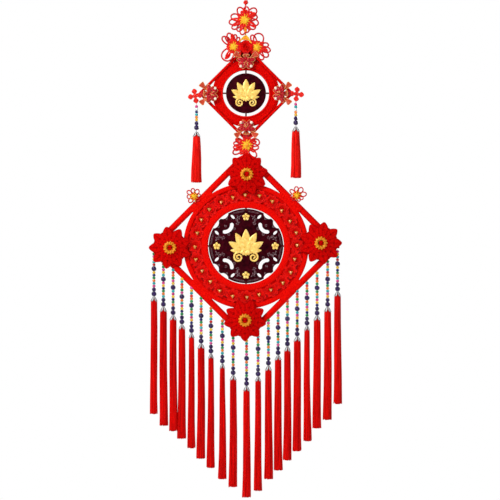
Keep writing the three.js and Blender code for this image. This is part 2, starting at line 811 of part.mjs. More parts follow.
for (const flower of FLOWERS) {
  add(flower.name, velvetFlower(flower), RED);
  add(flower.name.replace("flower", "coil"), goldCoil(flower), GOLD);
}
add("mini_rosette_left", miniRosette(-123.8, -525.6), SATIN);
add("mini_rosette_right", miniRosette(122.2, -522.7), SATIN);
STRINGS.forEach((row, i) => {
  const number = String(i + 1).padStart(2, "0");
  add(`tassel_${number}`, stringTassel(row), RED);
});

export default hanging;
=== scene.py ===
# %% [markdown]
# # A Chinese knot wall hanging
# Two frames set on their corners hang one under the other. Cord rosettes, velvet flowers and
# satin roses dress them, and nineteen bead strings end in long tassels. The solid model gives
# every piece its place and size. Here each one gets the surface that the eye expects: cord,
# flock, velvet, satin, lacquer, glass and floss.

import bmesh
import bpy
import numpy as np
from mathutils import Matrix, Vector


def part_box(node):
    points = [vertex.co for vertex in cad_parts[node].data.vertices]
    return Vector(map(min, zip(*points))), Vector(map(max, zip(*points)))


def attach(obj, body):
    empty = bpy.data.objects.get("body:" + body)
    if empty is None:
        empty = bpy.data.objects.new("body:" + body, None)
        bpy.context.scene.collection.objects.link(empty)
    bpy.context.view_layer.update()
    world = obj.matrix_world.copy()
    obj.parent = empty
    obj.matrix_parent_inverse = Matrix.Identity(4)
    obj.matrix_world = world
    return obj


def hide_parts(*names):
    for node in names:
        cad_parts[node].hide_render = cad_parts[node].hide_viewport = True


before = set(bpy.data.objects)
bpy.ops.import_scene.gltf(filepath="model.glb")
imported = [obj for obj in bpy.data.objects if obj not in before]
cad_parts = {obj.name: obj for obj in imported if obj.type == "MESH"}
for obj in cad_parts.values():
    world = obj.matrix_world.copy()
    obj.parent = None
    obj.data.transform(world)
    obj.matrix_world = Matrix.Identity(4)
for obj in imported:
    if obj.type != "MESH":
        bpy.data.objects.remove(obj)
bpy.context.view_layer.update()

# %% [markdown]
# The picture is taken from straight ahead with a long lens, so the frames keep their true
# squares. The camera stands five metres off. A plain pale floor lies well below the hanging, out
# of the picture.

# %% Camera and floor
scene = bpy.context.scene
scene.view_settings.view_transform = "Standard"

lens = bpy.data.cameras.new("front_camera")
lens.lens, lens.sensor_width = 150, 36
camera = bpy.data.objects.new("front_camera", lens)
camera.location = (0.0096, -5.0, -0.654)
camera.rotation_euler = (np.pi / 2, 0, 0)
scene.collection.objects.link(camera)
scene.camera = camera


def linear(hex_colour):
    """An sRGB hex colour as linear red, green, blue and alpha.

    Below 0.04045 a value is divided by 12.92, and above it is ((v + 0.055) / 1.055) ** 2.4."""
    values = np.array([int(hex_colour[i : i + 2], 16) / 255 for i in (1, 3, 5)])
    lifted = np.where(values <= 0.04045, values / 12.92, ((values + 0.055) / 1.055) ** 2.4)
    return (*lifted.tolist(), 1.0)


FLOOR, FLOOR_Z = 4.5, -2.0  # half of its side and its height, in metres
floor_corners = [(x * FLOOR, y * FLOOR, FLOOR_Z) for x, y in ((-1, -1), (1, -1), (1, 1), (-1, 1))]
floor_mesh = bpy.data.meshes.new("floor")
floor_mesh.from_pydata(floor_corners, [], [(0, 1, 2, 3)])
matt = bpy.data.materials.new("matt_floor_paint")
matt.use_nodes = True
floor_tree = matt.node_tree
floor_shader = floor_tree.nodes["Principled BSDF"]
floor_shader.inputs["Base Color"].default_value = linear("#F2F0EE")
floor_shader.inputs["Roughness"].default_value = 0.9
floor_mesh.materials.append(matt)
studio_floor = bpy.data.objects.new("floor", floor_mesh)
scene.collection.objects.link(studio_floor)
print("floor", 2 * FLOOR, "metres wide")

# %% [markdown]
# Materials and light are built from the same few steps, so one small function adds a node, sets
# it and links it.

# %% Node helper


def add(tree, kind, settings=(), links=()):
    """Adds a node: settings are sockets, properties or a ramp's stops; links are its inputs."""
    node = tree.nodes.new(kind)
    for key, value in dict(settings).items():
        if key == "stops":
            node.color_ramp.elements[0].position, first = value[0]
            node.color_ramp.elements[1].position, last = value[-1]
            node.color_ramp.elements[0].color = linear(first)
            node.color_ramp.elements[1].color = linear(last)
            for position, middle in value[1:-1]:
                node.color_ramp.elements.new(position).color = linear(middle)
        elif isinstance(key, int) or key in node.inputs:
            node.inputs[key].default_value = value
        else:
            setattr(node, key, value)
    for key, socket in dict(links).items():
        tree.links.new(socket, node.inputs[key])
    return node


# %% [markdown]
# The light is soft and comes mostly from the upper left. Thread and flock need some direction
# to show their depth, so the large lamps do much more than the sky. The sky is white where it is
# seen behind the hanging. It gives only 0.22 of that to the piece itself, because more would
# bleach the edges of the thin cords. The floor is lifted in the same way: it looks pale from
# above, and throws no more light on the piece than matt paint would.

# %% Studio light
sky = bpy.data.worlds.new("studio")
sky.use_nodes = True
background = sky.node_tree.nodes["Background"]
background.inputs["Color"].default_value = (1, 1, 1, 1)
seen = add(sky.node_tree, "ShaderNodeLightPath").outputs["Is Camera Ray"]
level = add(sky.node_tree, "ShaderNodeMapRange", {"To Min": 0.22, "To Max": 1.0}, {"Value": seen})
sky.node_tree.links.new(level.outputs["Result"], background.inputs["Strength"])
scene.world = sky

floor_seen = add(floor_tree, "ShaderNodeLightPath").outputs["Is Camera Ray"]
floor_lift = add(floor_tree, "ShaderNodeMath", {"operation": "MULTIPLY", 1: 0.65}, {0: floor_seen})
floor_shader.inputs["Emission Color"].default_value = linear("#FFFFFF")
floor_tree.links.new(floor_lift.outputs["Value"], floor_shader.inputs["Emission Strength"])

LAMP_TARGET = np.array([0, 0, -0.6])  # the middle of the hanging
LAMPS = [  # name, place, size in metres, power in watts
    ("key_lamp", (-1.7, -2.0, 1.1), 1.0, 84),
    ("fill_lamp", (2.0, -2.8, -0.4), 2.0, 20),
    ("low_lamp", (-0.6, -2.6, -1.25), 1.2, 8),
    ("back_lamp", (1.4, 2.6, 0.4), 1.6, 90),
]
for name, place, size, power in LAMPS:
    lamp = bpy.data.lights.new(name, "AREA")
    lamp.size, lamp.energy = size, power
    made = bpy.data.objects.new(name, lamp)
    made.location = place
    aim = LAMP_TARGET - np.array(place)
    tilt, turn = np.arctan2(np.hypot(aim[0], aim[1]), -aim[2]), np.arctan2(aim[1], aim[0]) - np.pi / 2
    made.rotation_euler = (tilt, 0, turn)
    scene.collection.objects.link(made)
print(len(LAMPS), "lamps")

# %% [markdown]
# Each material starts from a few lines too. Patterns are sized in real units: a noise scale of
# 1000 in object coordinates, which are metres, has grains of about a millimetre.

# %% Material helpers


def start(name, settings):
    """A new material: its tree, its shader with these settings, and its two coordinates."""
    made = bpy.data.materials.new(name)
    made.use_nodes = True
    tree = made.node_tree
    shader = tree.nodes["Principled BSDF"]
    for key, value in settings.items():
        shader.inputs[key].default_value = value
    place = add(tree, "ShaderNodeTexCoord")
    return made, tree, shader, place.outputs["Object"], place.outputs["UV"]


def finish(tree, shader, amount, stops, height, strength, distance):
    """Colours a surface by an amount through a ramp, and raises it by a height in metres."""
    ramp = add(tree, "ShaderNodeValToRGB", {"stops": stops}, {"Fac": amount})
    tree.links.new(ramp.outputs["Color"], shader.inputs["Base Color"])
    bump = add(tree, "ShaderNodeBump", {"Strength": strength, "Distance": distance}, {"Height": height})
    tree.links.new(bump.outputs["Normal"], shader.inputs["Normal"])


# %% [markdown]
# Satin cord is a braided rayon sleeve. It shines softly, and its plait shows as fine slanting
# ribs, about 1.8 mm apart. The ribs follow the cord, so they read its UV map: u is the length along
# the cord in millimetres, and v goes once round it. The outer loops are a darker crimson copy of
# the scarlet cord at their heart, a painted shade for the loops' dark outlines.

# %% Satin cord
THREAD_BLUR = {"Scale": 260.0, "Detail": 2.0}


def thread_material(name, settings, stops, pitch, slant, strength):
    """Thread or cord: one rib for each 1.14 of u / pitch + v * slant, over slow changes of shade."""
    made, tree, shader, place, uv = start(name, settings)
    ribs = add(tree, "ShaderNodeMapping", {"Scale": (1 / pitch, slant, 1)}, {"Vector": uv})
    wave = add(
        tree,
        "ShaderNodeTexWave",
        {"wave_type": "BANDS", "bands_direction": "DIAGONAL", "Scale": 0.55, "Distortion": 0.6},
        {"Vector": ribs.outputs["Vector"]},
    )
    blur = add(tree, "ShaderNodeTexNoise", THREAD_BLUR, {"Vector": place})
    both = add(
        tree,
        "ShaderNodeMath",
        {"operation": "MULTIPLY_ADD"},
        {0: wave.outputs["Fac"], 1: blur.outputs["Fac"], 2: blur.outputs["Fac"]},
    )
    finish(tree, shader, both.outputs["Value"], stops, wave.outputs["Fac"], strength, 0.0004)
    return made


satin_cord, shaded_crimson_cord = (
    thread_material(
        f"{hue}_satin_cord_braided_rayon",
        {"Roughness": 0.42, "Specular IOR Level": 0.25},
        [(0.25, dark), (0.6, middle), (1.0, light)],
        pitch=1.6, slant=2, strength=0.3,
    )
    for hue, dark, middle, light in [
        ("scarlet", "#8E0004", "#D60805", "#FA2A10"),
        # The crimson copy is the scarlet cord darkened: painted shade for the loops' dark outlines.
        ("crimson", "#6A0008", "#B80612", "#EA1A1E"),
    ]
)
print(satin_cord.name, shaded_crimson_cord.name)

# %% [markdown]
# Gold thread is a narrow strip of metallised film wound round a core. It is a metal to the eye,
# with a bright warm yellow and thin dark lines between its turns. The lines are about 0.9 mm
# apart, and twice that on the thicker cord of the coils.

# %% Gold thread
gold_thread = thread_material(
    "gold_thread_lurex",
    {"Metallic": 0.15, "Roughness": 0.4, "Specular IOR Level": 0.4},
    [(0.2, "#A85802"), (0.5, "#F4A406"), (0.95, "#FFD82C")],
    pitch=0.8, slant=1, strength=0.5,
)
orange_thread = thread_material(
    "orange_thread_rayon",
    {"Roughness": 0.45, "Specular IOR Level": 0.3},
    [(0.2, "#C05004"), (0.6, "#F8840A"), (0.95, "#FFAA28")],
    pitch=0.8, slant=1, strength=0.4,
)
coil_thread = thread_material(
    "old_gold_coil_thread",
    {"Metallic": 0.15, "Roughness": 0.4, "Specular IOR Level": 0.4},
    [(0.2, "#8A2C02"), (0.5, "#E07606"), (0.95, "#FFBC28")],
    pitch=1.6, slant=1, strength=0.6,
)
peach_thread = thread_material(
    "peach_gold_edging_thread",
    {"Metallic": 0.15, "Roughness": 0.35, "Specular IOR Level": 0.5},
    [(0.2, "#6A3404"), (0.5, "#CE7C28"), (0.95, "#FFC07C")],
    pitch=0.9, slant=1, strength=0.5,
)
print(gold_thread.name, orange_thread.name, coil_thread.name, peach_thread.name)

# %% [markdown]
# The frames, the ring and the tubes are thin plastic mouldings with short red nylon fibre
# shot onto glue. Flock scatters light, has no gloss, and glows a little at its edges. Its clumps
# are about 2.4 mm across, drawn coarser than the real 0.5 mm fibre so that they show. A painted
# shade darkens the flock the deeper it lies, in the channels and down the sides of the tubes.


# %% Flock
def pile_material(name, settings, stops, clump, strength, darkness=None):
    """Short pile: two noises, a coarse one for clumps of this size in mm and a finer one.

    A painted shade, worked out from the place or the UV map, is taken off the amount of colour."""
    made, tree, shader, place, uv = start(name, settings)
    clumps = {"Scale": 1000 / clump, "Detail": 4.0, "Roughness": 0.7}
    coarse = add(tree, "ShaderNodeTexNoise", clumps, {"Vector": place})
    fine = add(tree, "ShaderNodeTexNoise", {"Scale": 4200 / clump, "Detail": 2.0}, {"Vector": place})
    both = add(
        tree,
        "ShaderNodeMath",
        {"operation": "MULTIPLY_ADD", 1: 0.5},
        {0: fine.outputs["Fac"], 2: coarse.outputs["Fac"]},
    ).outputs["Value"]
    shade = both
    if darkness:
        less = {0: both, 1: darkness(tree, place, uv)}
        shade = add(tree, "ShaderNodeMath", {"operation": "SUBTRACT"}, less).outputs["Value"]
    finish(tree, shader, shade, stops, both, strength, 0.0009)
    return made


def painted_depth_shade(tree, place, uv):
    """Painted shade, deeper in channels and down tube sides: 0 at y = -6 mm, 0.34 at 2 mm."""
    depth = add(tree, "ShaderNodeSeparateXYZ", {}, {"Vector": place}).outputs["Y"]
    levels = {"From Min": -0.006, "From Max": 0.002, "To Min": 0.0, "To Max": 0.34}
    return add(tree, "ShaderNodeMapRange", levels, {"Value": depth}).outputs["Result"]


flock = pile_material(
    "red_flock_on_moulded_plastic",
    {"Roughness": 0.85, "Sheen Weight": 0.02, "Sheen Tint": linear("#FF2010"), "Specular IOR Level": 0.02},
    [(0.42, "#7E0001"), (0.7, "#DA0603"), (0.95, "#FA1408")],
    clump=2.4, strength=0.6, darkness=painted_depth_shade,
)

# %% [markdown]
# Velvet is a woven pile, cut even. It drinks light where it is seen end on. The petals are a
# deeper red than the flock, with fine dark mottling. A painted shade darkens each petal along its
# rim and its midrib, where shade falls between the layers and in the crease. A petal's UV map
# goes once round its section, so v = 0 and 0.5 are its rims and v = 0.25 is its midrib.


# %% Velvet and satin
def painted_edge_and_midrib_shade(tree, place, uv):
    """Painted shade at rims and midrib: 0.32 |cos 2 pi v|^10 + 0.16 |sin 2 pi v|^200."""
    v = add(tree, "ShaderNodeSeparateXYZ", {}, {"Vector": uv}).outputs["Y"]
    turn = add(tree, "ShaderNodeMath", {"operation": "MULTIPLY", 1: 2 * np.pi}, {0: v}).outputs["Value"]
    total = None
    for wave, power, weight in (("COSINE", 10.0, 0.32), ("SINE", 200.0, 0.16)):
        line = add(tree, "ShaderNodeMath", {"operation": wave}, {0: turn}).outputs["Value"]
        line = add(tree, "ShaderNodeMath", {"operation": "ABSOLUTE"}, {0: line}).outputs["Value"]
        line = add(tree, "ShaderNodeMath", {"operation": "POWER", 1: power}, {0: line}).outputs["Value"]
        rest = {0: line} if total is None else {0: line, 2: total}
        last = {"operation": "MULTIPLY_ADD", 1: weight, 2: 0.0}
        total = add(tree, "ShaderNodeMath", last, rest).outputs["Value"]
    return total


velvet = pile_material(
    "red_velvet_cut_pile",
    {"Roughness": 0.9, "Sheen Weight": 0.03, "Sheen Tint": linear("#FF2010"), "Specular IOR Level": 0.02},
    [(0.4, "#560001"), (0.7, "#BE0303"), (0.95, "#EA0E06")],
    clump=1.8, strength=0.8, darkness=painted_edge_and_midrib_shade,
)
# The satin ribbon gets the same painted shade along the edges of its turns.
satin = pile_material(
    "red_satin_ribbon",
    {"Roughness": 0.55, "Specular IOR Level": 0.08},
    [(0.4, "#760001"), (0.7, "#DC0503"), (0.98, "#FF1A08")],
    clump=3.2, strength=0.3, darkness=painted_edge_and_midrib_shade,
)
cerise_foil = pile_material(
    "cerise_satin_foil",
    {"Roughness": 0.28, "Specular IOR Level": 0.35},
    [(0.45, "#3C0002"), (0.7, "#A6020E"), (0.98, "#EC2238")],
    clump=4.0, strength=0.15,
)
coral_organza = pile_material(
    "coral_organza_with_glitter",
    {"Roughness": 0.35, "Specular IOR Level": 0.35},
    [(0.45, "#640E04"), (0.66, "#AE2812"), (0.95, "#E85A34")],
    clump=2.0, strength=0.25,
)
print(flock.name, velvet.name, satin.name, cerise_foil.name, coral_organza.name)

# %% [markdown]
# Rayon floss in a tassel is a bundle of nearly straight shiny fibres. Light runs down it in
# narrow streaks. Each lock here stands for some ten threads, so thin bright and dark lines
# follow its length: the noise is stretched a hundredfold along it. The two side tassels are of a
# brighter red than the long ones.


# %% Tassel floss
def floss_material(name, stops):
    """Floss: a noise drawn out along z, 900 across to 9 along, for its shade and its relief."""
    made, tree, shader, place, _ = start(name, {"Roughness": 0.5, "Specular IOR Level": 0.12})
    stretched = add(tree, "ShaderNodeMapping", {"Scale": (900.0, 900.0, 9.0)}, {"Vector": place})
    drawn = {"Vector": stretched.outputs["Vector"]}
    streaks = add(tree, "ShaderNodeTexNoise", {"Scale": 1.0, "Detail": 3.0}, drawn).outputs["Fac"]
    finish(tree, shader, streaks, stops, streaks, 0.5, 0.0006)
    return made


floss = floss_material("red_rayon_floss", [(0.3, "#9C0000"), (0.5, "#D20302"), (0.72, "#FA1006")])
bright_floss = floss_material(
    "bright_red_rayon_floss", [(0.3, "#B40402"), (0.5, "#EC120C"), (0.72, "#FF3020")]
)
print(floss.name, bright_floss.name)

# %% [markdown]
# The discs are pressed board under a dark red-brown lacquer, rubbed to a soft gloss. The raised
# ornament is cast resin with brushed-on pale gold paint, so it is part metal, part chalk.


# %% Lacquer, gold paint and metal
def cast_material(name, settings, stops, scale, strength):
    """A hard cast or coated surface: a slow noise for its shade and its slight unevenness."""
    made, tree, shader, place, _ = start(name, settings)
    cloud = add(tree, "ShaderNodeTexNoise", {"Scale": scale, "Detail": 5.0}, {"Vector": place})
    finish(tree, shader, cloud.outputs["Fac"], stops, cloud.outputs["Fac"], strength, 0.0004)
    return made


lacquer = cast_material(
    "dark_lacquer_on_board",
    {"Roughness": 0.5, "Specular IOR Level": 0.02},
    [(0.3, "#1E0006"), (0.7, "#400410")],
    scale=120.0, strength=0.25,
)
gold_paint = cast_material(
    "pale_gold_paint_on_resin",
    {"Roughness": 0.42, "Metallic": 0.25},
    [(0.3, "#EDB648"), (0.55, "#FFD870"), (0.8, "#FFEBA4")],
    scale=180.0, strength=0.3,
)
silver = cast_material(
    "silver_plated_brass",
    {"Roughness": 0.3, "Metallic": 0.15},
    [(0.3, "#D4D4D6"), (0.7, "#FFFFFF")],
    scale=300.0, strength=0.15,
)
# The cap wire is painted dark: painted shade along the edges of the cap leaves.
dark_wire = cast_material(
    "silver_wire_painted_shade",
    {"Roughness": 0.35, "Metallic": 0.5},
    [(0.35, "#1E1E22"), (0.75, "#88888E")],
    scale=700.0, strength=0.15,
)
pearl = cast_material(
    "cream_pearl_bead",
    {"Roughness": 0.18, "Coat Weight": 0.6, "Subsurface Weight": 0.1},
    [(0.3, "#EBCBB8"), (0.7, "#FFF4E2")],
    scale=90.0, strength=0.05,
)
rhinestone = cast_material(
    "peach_rhinestone",
    {"Roughness": 0.12, "Metallic": 0.3, "Coat Weight": 0.8},
    [(0.3, "#F07A34"), (0.5, "#FFA85C"), (0.75, "#FFDCC0")],
    scale=500.0, strength=0.1,
)
peg_enamel = cast_material(
    "maroon_peg_enamel",
    {"Roughness": 0.4, "Specular IOR Level": 0.2},
    [(0.3, "#340006"), (0.8, "#6E0610")],
    scale=200.0, strength=0.1,
)
print(lacquer.name, gold_paint.name, silver.name, dark_wire.name)
print(pearl.name, rhinestone.name, peg_enamel.name)

# %% [markdown]
# The beads are polished resin and glass. A bright highlight is what makes a bead read as a bead,
# so they are clear coated, each colour with a slight marbling.

# %% Bead colours
BEADS = {  # bead colour: dark and light of its marbling
    "purple": ("#12022E", "#320C62"),
    "navy": ("#080A3A", "#1E2880"),
    "magenta": ("#B01468", "#F25CA8"),
    "teal": ("#0A7C86", "#35C4C4"),
    "orange": ("#D8560A", "#FF9A30"),
    "green": ("#0A6A2E", "#2EA85A"),
    "yellow": ("#D89A0E", "#FFE04A"),
    "red": ("#A80810", "#F02A2A"),
    "clear": ("#CFE6EA", "#FFFFFF"),
}
bead_finish = {
    colour: cast_material(
        f"{colour}_glass_bead",
        {"Roughness": 0.4, "Specular IOR Level": 0.15, "Coat Weight": 0.6, "Coat Roughness": 0.12},
        [(0.35, dark), (0.7, light)],
        scale=240.0, strength=0.05,
    )
    for colour, (dark, light) in BEADS.items()
}
print(len(bead_finish), "bead colours")

# %% [markdown]
# Nearly all new shapes are skins over rings of points. A cord is a row of small circles along a
# path, a petal is a row of flat ovals, and a turned ring is a row of cross sections round a
# centre. Working in millimetres keeps the numbers close to what a maker would measure.

# %% Skins over rings
SHARP = np.radians(50)  # edges steeper than this stay sharp


def circle(count):
    """Angles spaced evenly round a full turn."""
    return np.linspace(0, 2 * np.pi, count, endpoint=False)


def front_ring(reach, angle, y):
    """Points round an axis that runs from front to back: reach cos angle, y and reach sin angle."""
    return np.stack(np.broadcast_arrays(reach * np.cos(angle), y, reach * np.sin(angle)), -1)


def skin(rings, closed=False):
    """Rings of shape (..., n, m, 3) in mm as closed shells: points, faces and their UVs.

    Quads join point j of ring i to its neighbours, round each ring and on to the next. The two
    ends get one flat face each, unless the row of rings closes on itself. In the UV map, u is the
    distance along the ring centres in mm, and v goes from 0 to 1 round a ring."""
    n, m = rings.shape[-3:-1]
    shells = rings.reshape(-1, n, m, 3)
    count = len(shells)
    middles = shells.mean(axis=2)
    steps = np.linalg.norm(np.roll(middles, -1, axis=1) - middles, axis=2)
    along = np.concatenate([np.zeros((count, 1)), np.cumsum(steps, axis=1)], axis=1)
    i, j = np.meshgrid(np.arange(n if closed else n - 1), np.arange(m), indexing="ij")
    corners = [(i, j), (i, j + 1), (i + 1, j + 1), (i + 1, j)]
    first = np.arange(count)[:, None, None, None] * n * m
    quads = np.stack([(a % n) * m + b % m for a, b in corners], -1)[None] + first
    uv = np.stack(
        [np.stack([along[:, a], np.broadcast_to(b / m, (count, *b.shape))], -1) for a, b in corners],
        -2,
    )
    faces, maps = [quads.reshape(-1, 4)], [uv.reshape(-1, 4, 2)]
    if not closed:
        for row in (np.arange(m)[::-1], np.arange(m) + (n - 1) * m):
            ends = row[None] + first[:, 0, 0]
            faces.append(ends)
            maps.append(np.zeros((*ends.shape, 2)))
    return shells.reshape(-1, 3), faces, maps


def make(name, shells, material, replaces=()):
    """One object from closed shells in mm: it gets its UV map, outward faces and its body."""
    starts = np.cumsum([0] + [len(points) for points, _, _ in shells])
    corners = [f.ravel() + s for (_, faces, _), s in zip(shells, starts) for f in faces]
    sizes = [np.full(len(f), f.shape[1]) for _, faces, _ in shells for f in faces]
    maps = np.concatenate([uv.reshape(-1, 2) for _, _, each in shells for uv in each])
    points = np.concatenate([points for points, _, _ in shells]) / 1000
    corners, sizes = np.concatenate(corners), np.concatenate(sizes)
    mesh = bpy.data.meshes.new(name)
    mesh.vertices.add(len(points))
    mesh.vertices.foreach_set("co", points.ravel())
    mesh.loops.add(len(corners))
    mesh.loops.foreach_set("vertex_index", corners.astype(np.int32))
    mesh.polygons.add(len(sizes))
    mesh.polygons.foreach_set("loop_start", (np.cumsum(sizes) - sizes).astype(np.int32))
    mesh.uv_layers.new(name="UVMap").data.foreach_set("uv", maps.ravel())
    mesh.update(calc_edges=True)
    return settle(name, mesh, material, replaces)


def settle(name, mesh, material, replaces=(), smooth=True):
    """Turns a mesh's faces outwards, smooths it below 50 degrees, and hands it to the frame."""
    work = bmesh.new()
    work.from_mesh(mesh)
    bmesh.ops.recalc_face_normals(work, faces=work.faces)
    work.to_mesh(mesh)
    work.free()
    mesh.polygons.foreach_set("use_smooth", np.full(len(mesh.polygons), smooth))
    mesh.set_sharp_from_angle(angle=SHARP)
    mesh.materials.append(material)
    made = bpy.data.objects.new(name, mesh)
    scene.collection.objects.link(made)
    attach(made, "root")
    if replaces:
        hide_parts(*replaces)
    print(f"{name}: {len(mesh.polygons)} faces")
    return made


# %% [markdown]
# A cord needs a frame at each point of its path: a side and an up that turn with the path. Most
# cords here lie nearly flat, so the direction to the front serves as a guide.


# %% Cords
def unit(vectors):
    """Vectors of length one: each divided by its own length."""
    return vectors / np.maximum(np.linalg.norm(vectors, axis=-1, keepdims=True), 1e-9)


def compass(angle):
    """In the picture's plane: out from a middle at this angle, and along, a quarter turn on."""
    return np.array([np.cos(angle), 0, np.sin(angle)]), np.array([-np.sin(angle), 0, np.cos(angle)])


def cord_rings(path, radius, sides=8, closed=False, guide=(0, -1, 0), flat=1.0):
    """Circles across a path (..., n, 3): point = path + r (cos a * side + flat * sin a * up).

    The side is the tangent crossed with the guide, and up is the side crossed with the tangent."""
    if closed:
        tangent = unit(np.roll(path, -1, axis=-2) - np.roll(path, 1, axis=-2))
    else:
        tangent = unit(np.gradient(path, axis=-2))
    side = unit(np.cross(tangent, np.broadcast_to(guide, tangent.shape)))
    up = np.cross(side, tangent)
    angle = circle(sides)[:, None]
    size = np.asarray(radius, float)
    size = size[..., None, None] if size.ndim else size
    spread = np.cos(angle) * side[..., None, :] + flat * np.sin(angle) * up[..., None, :]
    return path[..., None, :] + size * spread


def cord(path, radius, sides=8, closed=False, guide=(0, -1, 0), flat=1.0):
    """A cord's closed skin along a path in mm."""
    return skin(cord_rings(path, radius, sides, closed, guide, flat), closed)


def through(points, count):
    """A smooth path of count points through a few given ones, by Catmull and Rom's cubic.

    Between p1 and p2 it is (2 p1 + (p2 - p0) t + (2 p0 - 5 p1 + 4 p2 - p3) t^2
    + (3 p1 - p0 - 3 p2 + p3) t^3) / 2."""
    p = np.asarray(points, float)
    p = np.concatenate([[2 * p[0] - p[1]], p, [2 * p[-1] - p[-2]]])
    where = np.linspace(0, len(points) - 1.0001, count)
    k = where.astype(int)
    t = (where - k)[:, None]
    p0, p1, p2, p3 = (p[k + step] for step in range(4))
    square, cube = 2 * p0 - 5 * p1 + 4 * p2 - p3, 3 * p1 - p0 - 3 * p2 + p3
    return (2 * p1 + (p2 - p0) * t + square * t**2 + cube * t**3) / 2


# %% [markdown]
# The hanging loop is one bight of cord that rises out of a button knot. The knot is a ball: one
# cord goes round it three times, over and under itself. A smaller one inside closes the gaps.

# %% Hanging loop and button knot
BUTTON = np.array([-0.5, 0.0, -60.0])
LEG = [(1.6, -57), (4.2, -44), (7.6, -26), (8.6, -13), (6.2, -3.2)]
loop_points = [(-x, 0, z) for x, z in LEG] + [(0, 0, 1.5)] + [(x, 0, z) for x, z in LEG[::-1]]
stem_points = [(-0.5, 1.5, -62), (-1, 3.6, -67.5), (-1.6, 4.2, -76), (-2.4, 4.2, -88), (-3.1, 4.2, -98)]


def button_knot(centre, radius, strand):
    """A knot on a ball: longitude 3 t, latitude 62 degrees times sin 5 t, over and under.

    The distance from the centre swings by a third of the strand as cos 10 t, so that each
    crossing has one strand above the other."""
    t = circle(240)
    latitude = np.radians(62) * np.sin(5 * t)
    level = np.cos(latitude)
    out = np.stack([level * np.cos(3 * t), level * np.sin(3 * t), np.sin(latitude)], -1)
    path = centre + out * (radius - strand + 0.33 * strand * np.cos(10 * t))[:, None]
    return cord(path, strand, 6, closed=True, guide=out)


make(
    "hanging_cord",
    [
        cord(through(loop_points, 90), 1.5, 10),
        cord(through(stem_points, 30), 1.8, 10),
        button_knot(BUTTON, 5.6, 1.25),
        button_knot(BUTTON, 3.6, 1.4),
    ],
    satin_cord,
    ["hanging_loop"],
)

# %% [markdown]
# A rosette is one length of cord that goes out and back again and again, a petal each time. The
# long loops are open between their legs. Slim strands lie between them, and sixteen short ones
# fill the heart. One leg of each loop passes in front and the other behind, so that neighbours
# interlace.

# %% Cord rosettes
HUBS = {
    "top": np.array([-3.1, 0.0, -102.2]),
    "left": np.array([-29.8, -6.8, -166.8]),
    "right": np.array([26.4, -6.8, -168.7]),
    "middle": np.array([1.9, -6.8, -403.0]),
}
LOOPS = {  # each long loop: its angle in degrees, its reach and its half width in mm
    "top": [(15, 33, 6.3), (45, 40, 9), (81, 34, 6.9), (115, 35, 8), (163, 36, 8), (189, 39.5, 7.5),
            (214, 38, 6.9), (238, 33, 6.3), (260, 37.4, 6.9), (282, 32, 6.3), (321, 34, 7.5),
            (346, 35.5, 8)],
    "left": [(58, 27.5, 4.5), (81, 31, 5), (111, 36.4, 6.5), (139, 37, 7), (128, 32, 4), (234, 41, 13.5)],
    "right": [(113, 34, 6), (80, 36, 12), (15, 30, 6), (-13, 34.5, 6.5), (-39, 36, 7), (-65, 34, 6.5)],
    "middle": [(150, 32, 5.2), (171, 33.5, 5.2), (190, 34, 5.2), (211, 40, 6.9), (17, 33.4, 8.6),
               (-12, 30.5, 6.9), (-52, 37.5, 6.9), (48, 31, 5.8)],
}
STRANDS = {  # slim double strands: angle and reach
    "top": [(92, 28), (80, 24), (35, 30), (28, 31), (50, 26), (-32, 31), (-62, 27), (250, 24), (205, 30),
            (176, 27), (140, 22), (110, 22)],
    "left": [(97, 30), (91, 27), (40, 20), (10, 22), (-20, 20), (-48, 25), (234, 30)],
    "right": [(128, 20), (38, 20), (-17, 26), (-85, 25), (-100, 22)],
    "middle": [(95, 22), (80, 22), (108, 22), (70, 20), (150, 27), (182, 28), (203, 30), (225, 22),
               (235, 26), (255, 28), (265, 30), (275, 28), (22, 24), (40, 24), (-40, 24)],
}


def petal_loop(hub, angle, reach, half_width, depth, count=28):
    """A loop of cord: u = reach (1 - cos t) / 2 out, v = half_width sin t sin^0.8(t / 2) / 0.8.

    The depth swings as sin t sin(t / 2), so that one leg lies in front."""
    t = np.linspace(0.04, 2 * np.pi - 0.04, count)
    u = reach * (1 - np.cos(t)) / 2
    v = half_width * np.sin(t) * np.sin(t / 2) ** 0.8 / 0.8
    a = np.radians(angle)
    x, z = u * np.cos(a) - v * np.sin(a), u * np.sin(a) + v * np.cos(a)
    return hub + np.stack([x, -depth * np.sin(t) * np.sin(t / 2), z], -1)


def rosette(side, hub, loops, strands=(), radius=1.9, depth=1.3, extra=(), replaces=()):
    """Long loops at their angles, slim strands between them, and short ones at the heart.

    A strand is a loop so slim that its legs touch. The short ones reach 0.45 of the mean."""
    heart = 0.45 * np.mean([row[1] for row in loops])
    slim = [*strands, *((22.5 * k, heart) for k in range(16))]
    bights = [petal_loop(hub - [0, 0.9, 0], a, reach, 1.4 * radius, depth, 18) for a, reach in slim]
    strand_skins = [cord(path, 1.1 * radius, 6) for path in bights]
    make(f"{side}_cord_strands", strand_skins, satin_cord)
    paths = [petal_loop(hub, a, reach - radius, wide, depth) for a, reach, wide in loops]
    loop_skins = [cord(path, radius) for path in paths]
    # The long loops take the darker copy of the cord: painted shade along the rosette's outline.
    make(f"{side}_cord_loops", [*loop_skins, *extra], shaded_crimson_cord, replaces)


rosette("top_rosette", HUBS["top"], LOOPS["top"], STRANDS["top"], replaces=["rosette_top"])

# %% [markdown]
# The two lower rosettes share one cord, which arches between them. A small ball knot joins the
# arch to the tie that runs down over the small frame's corner.

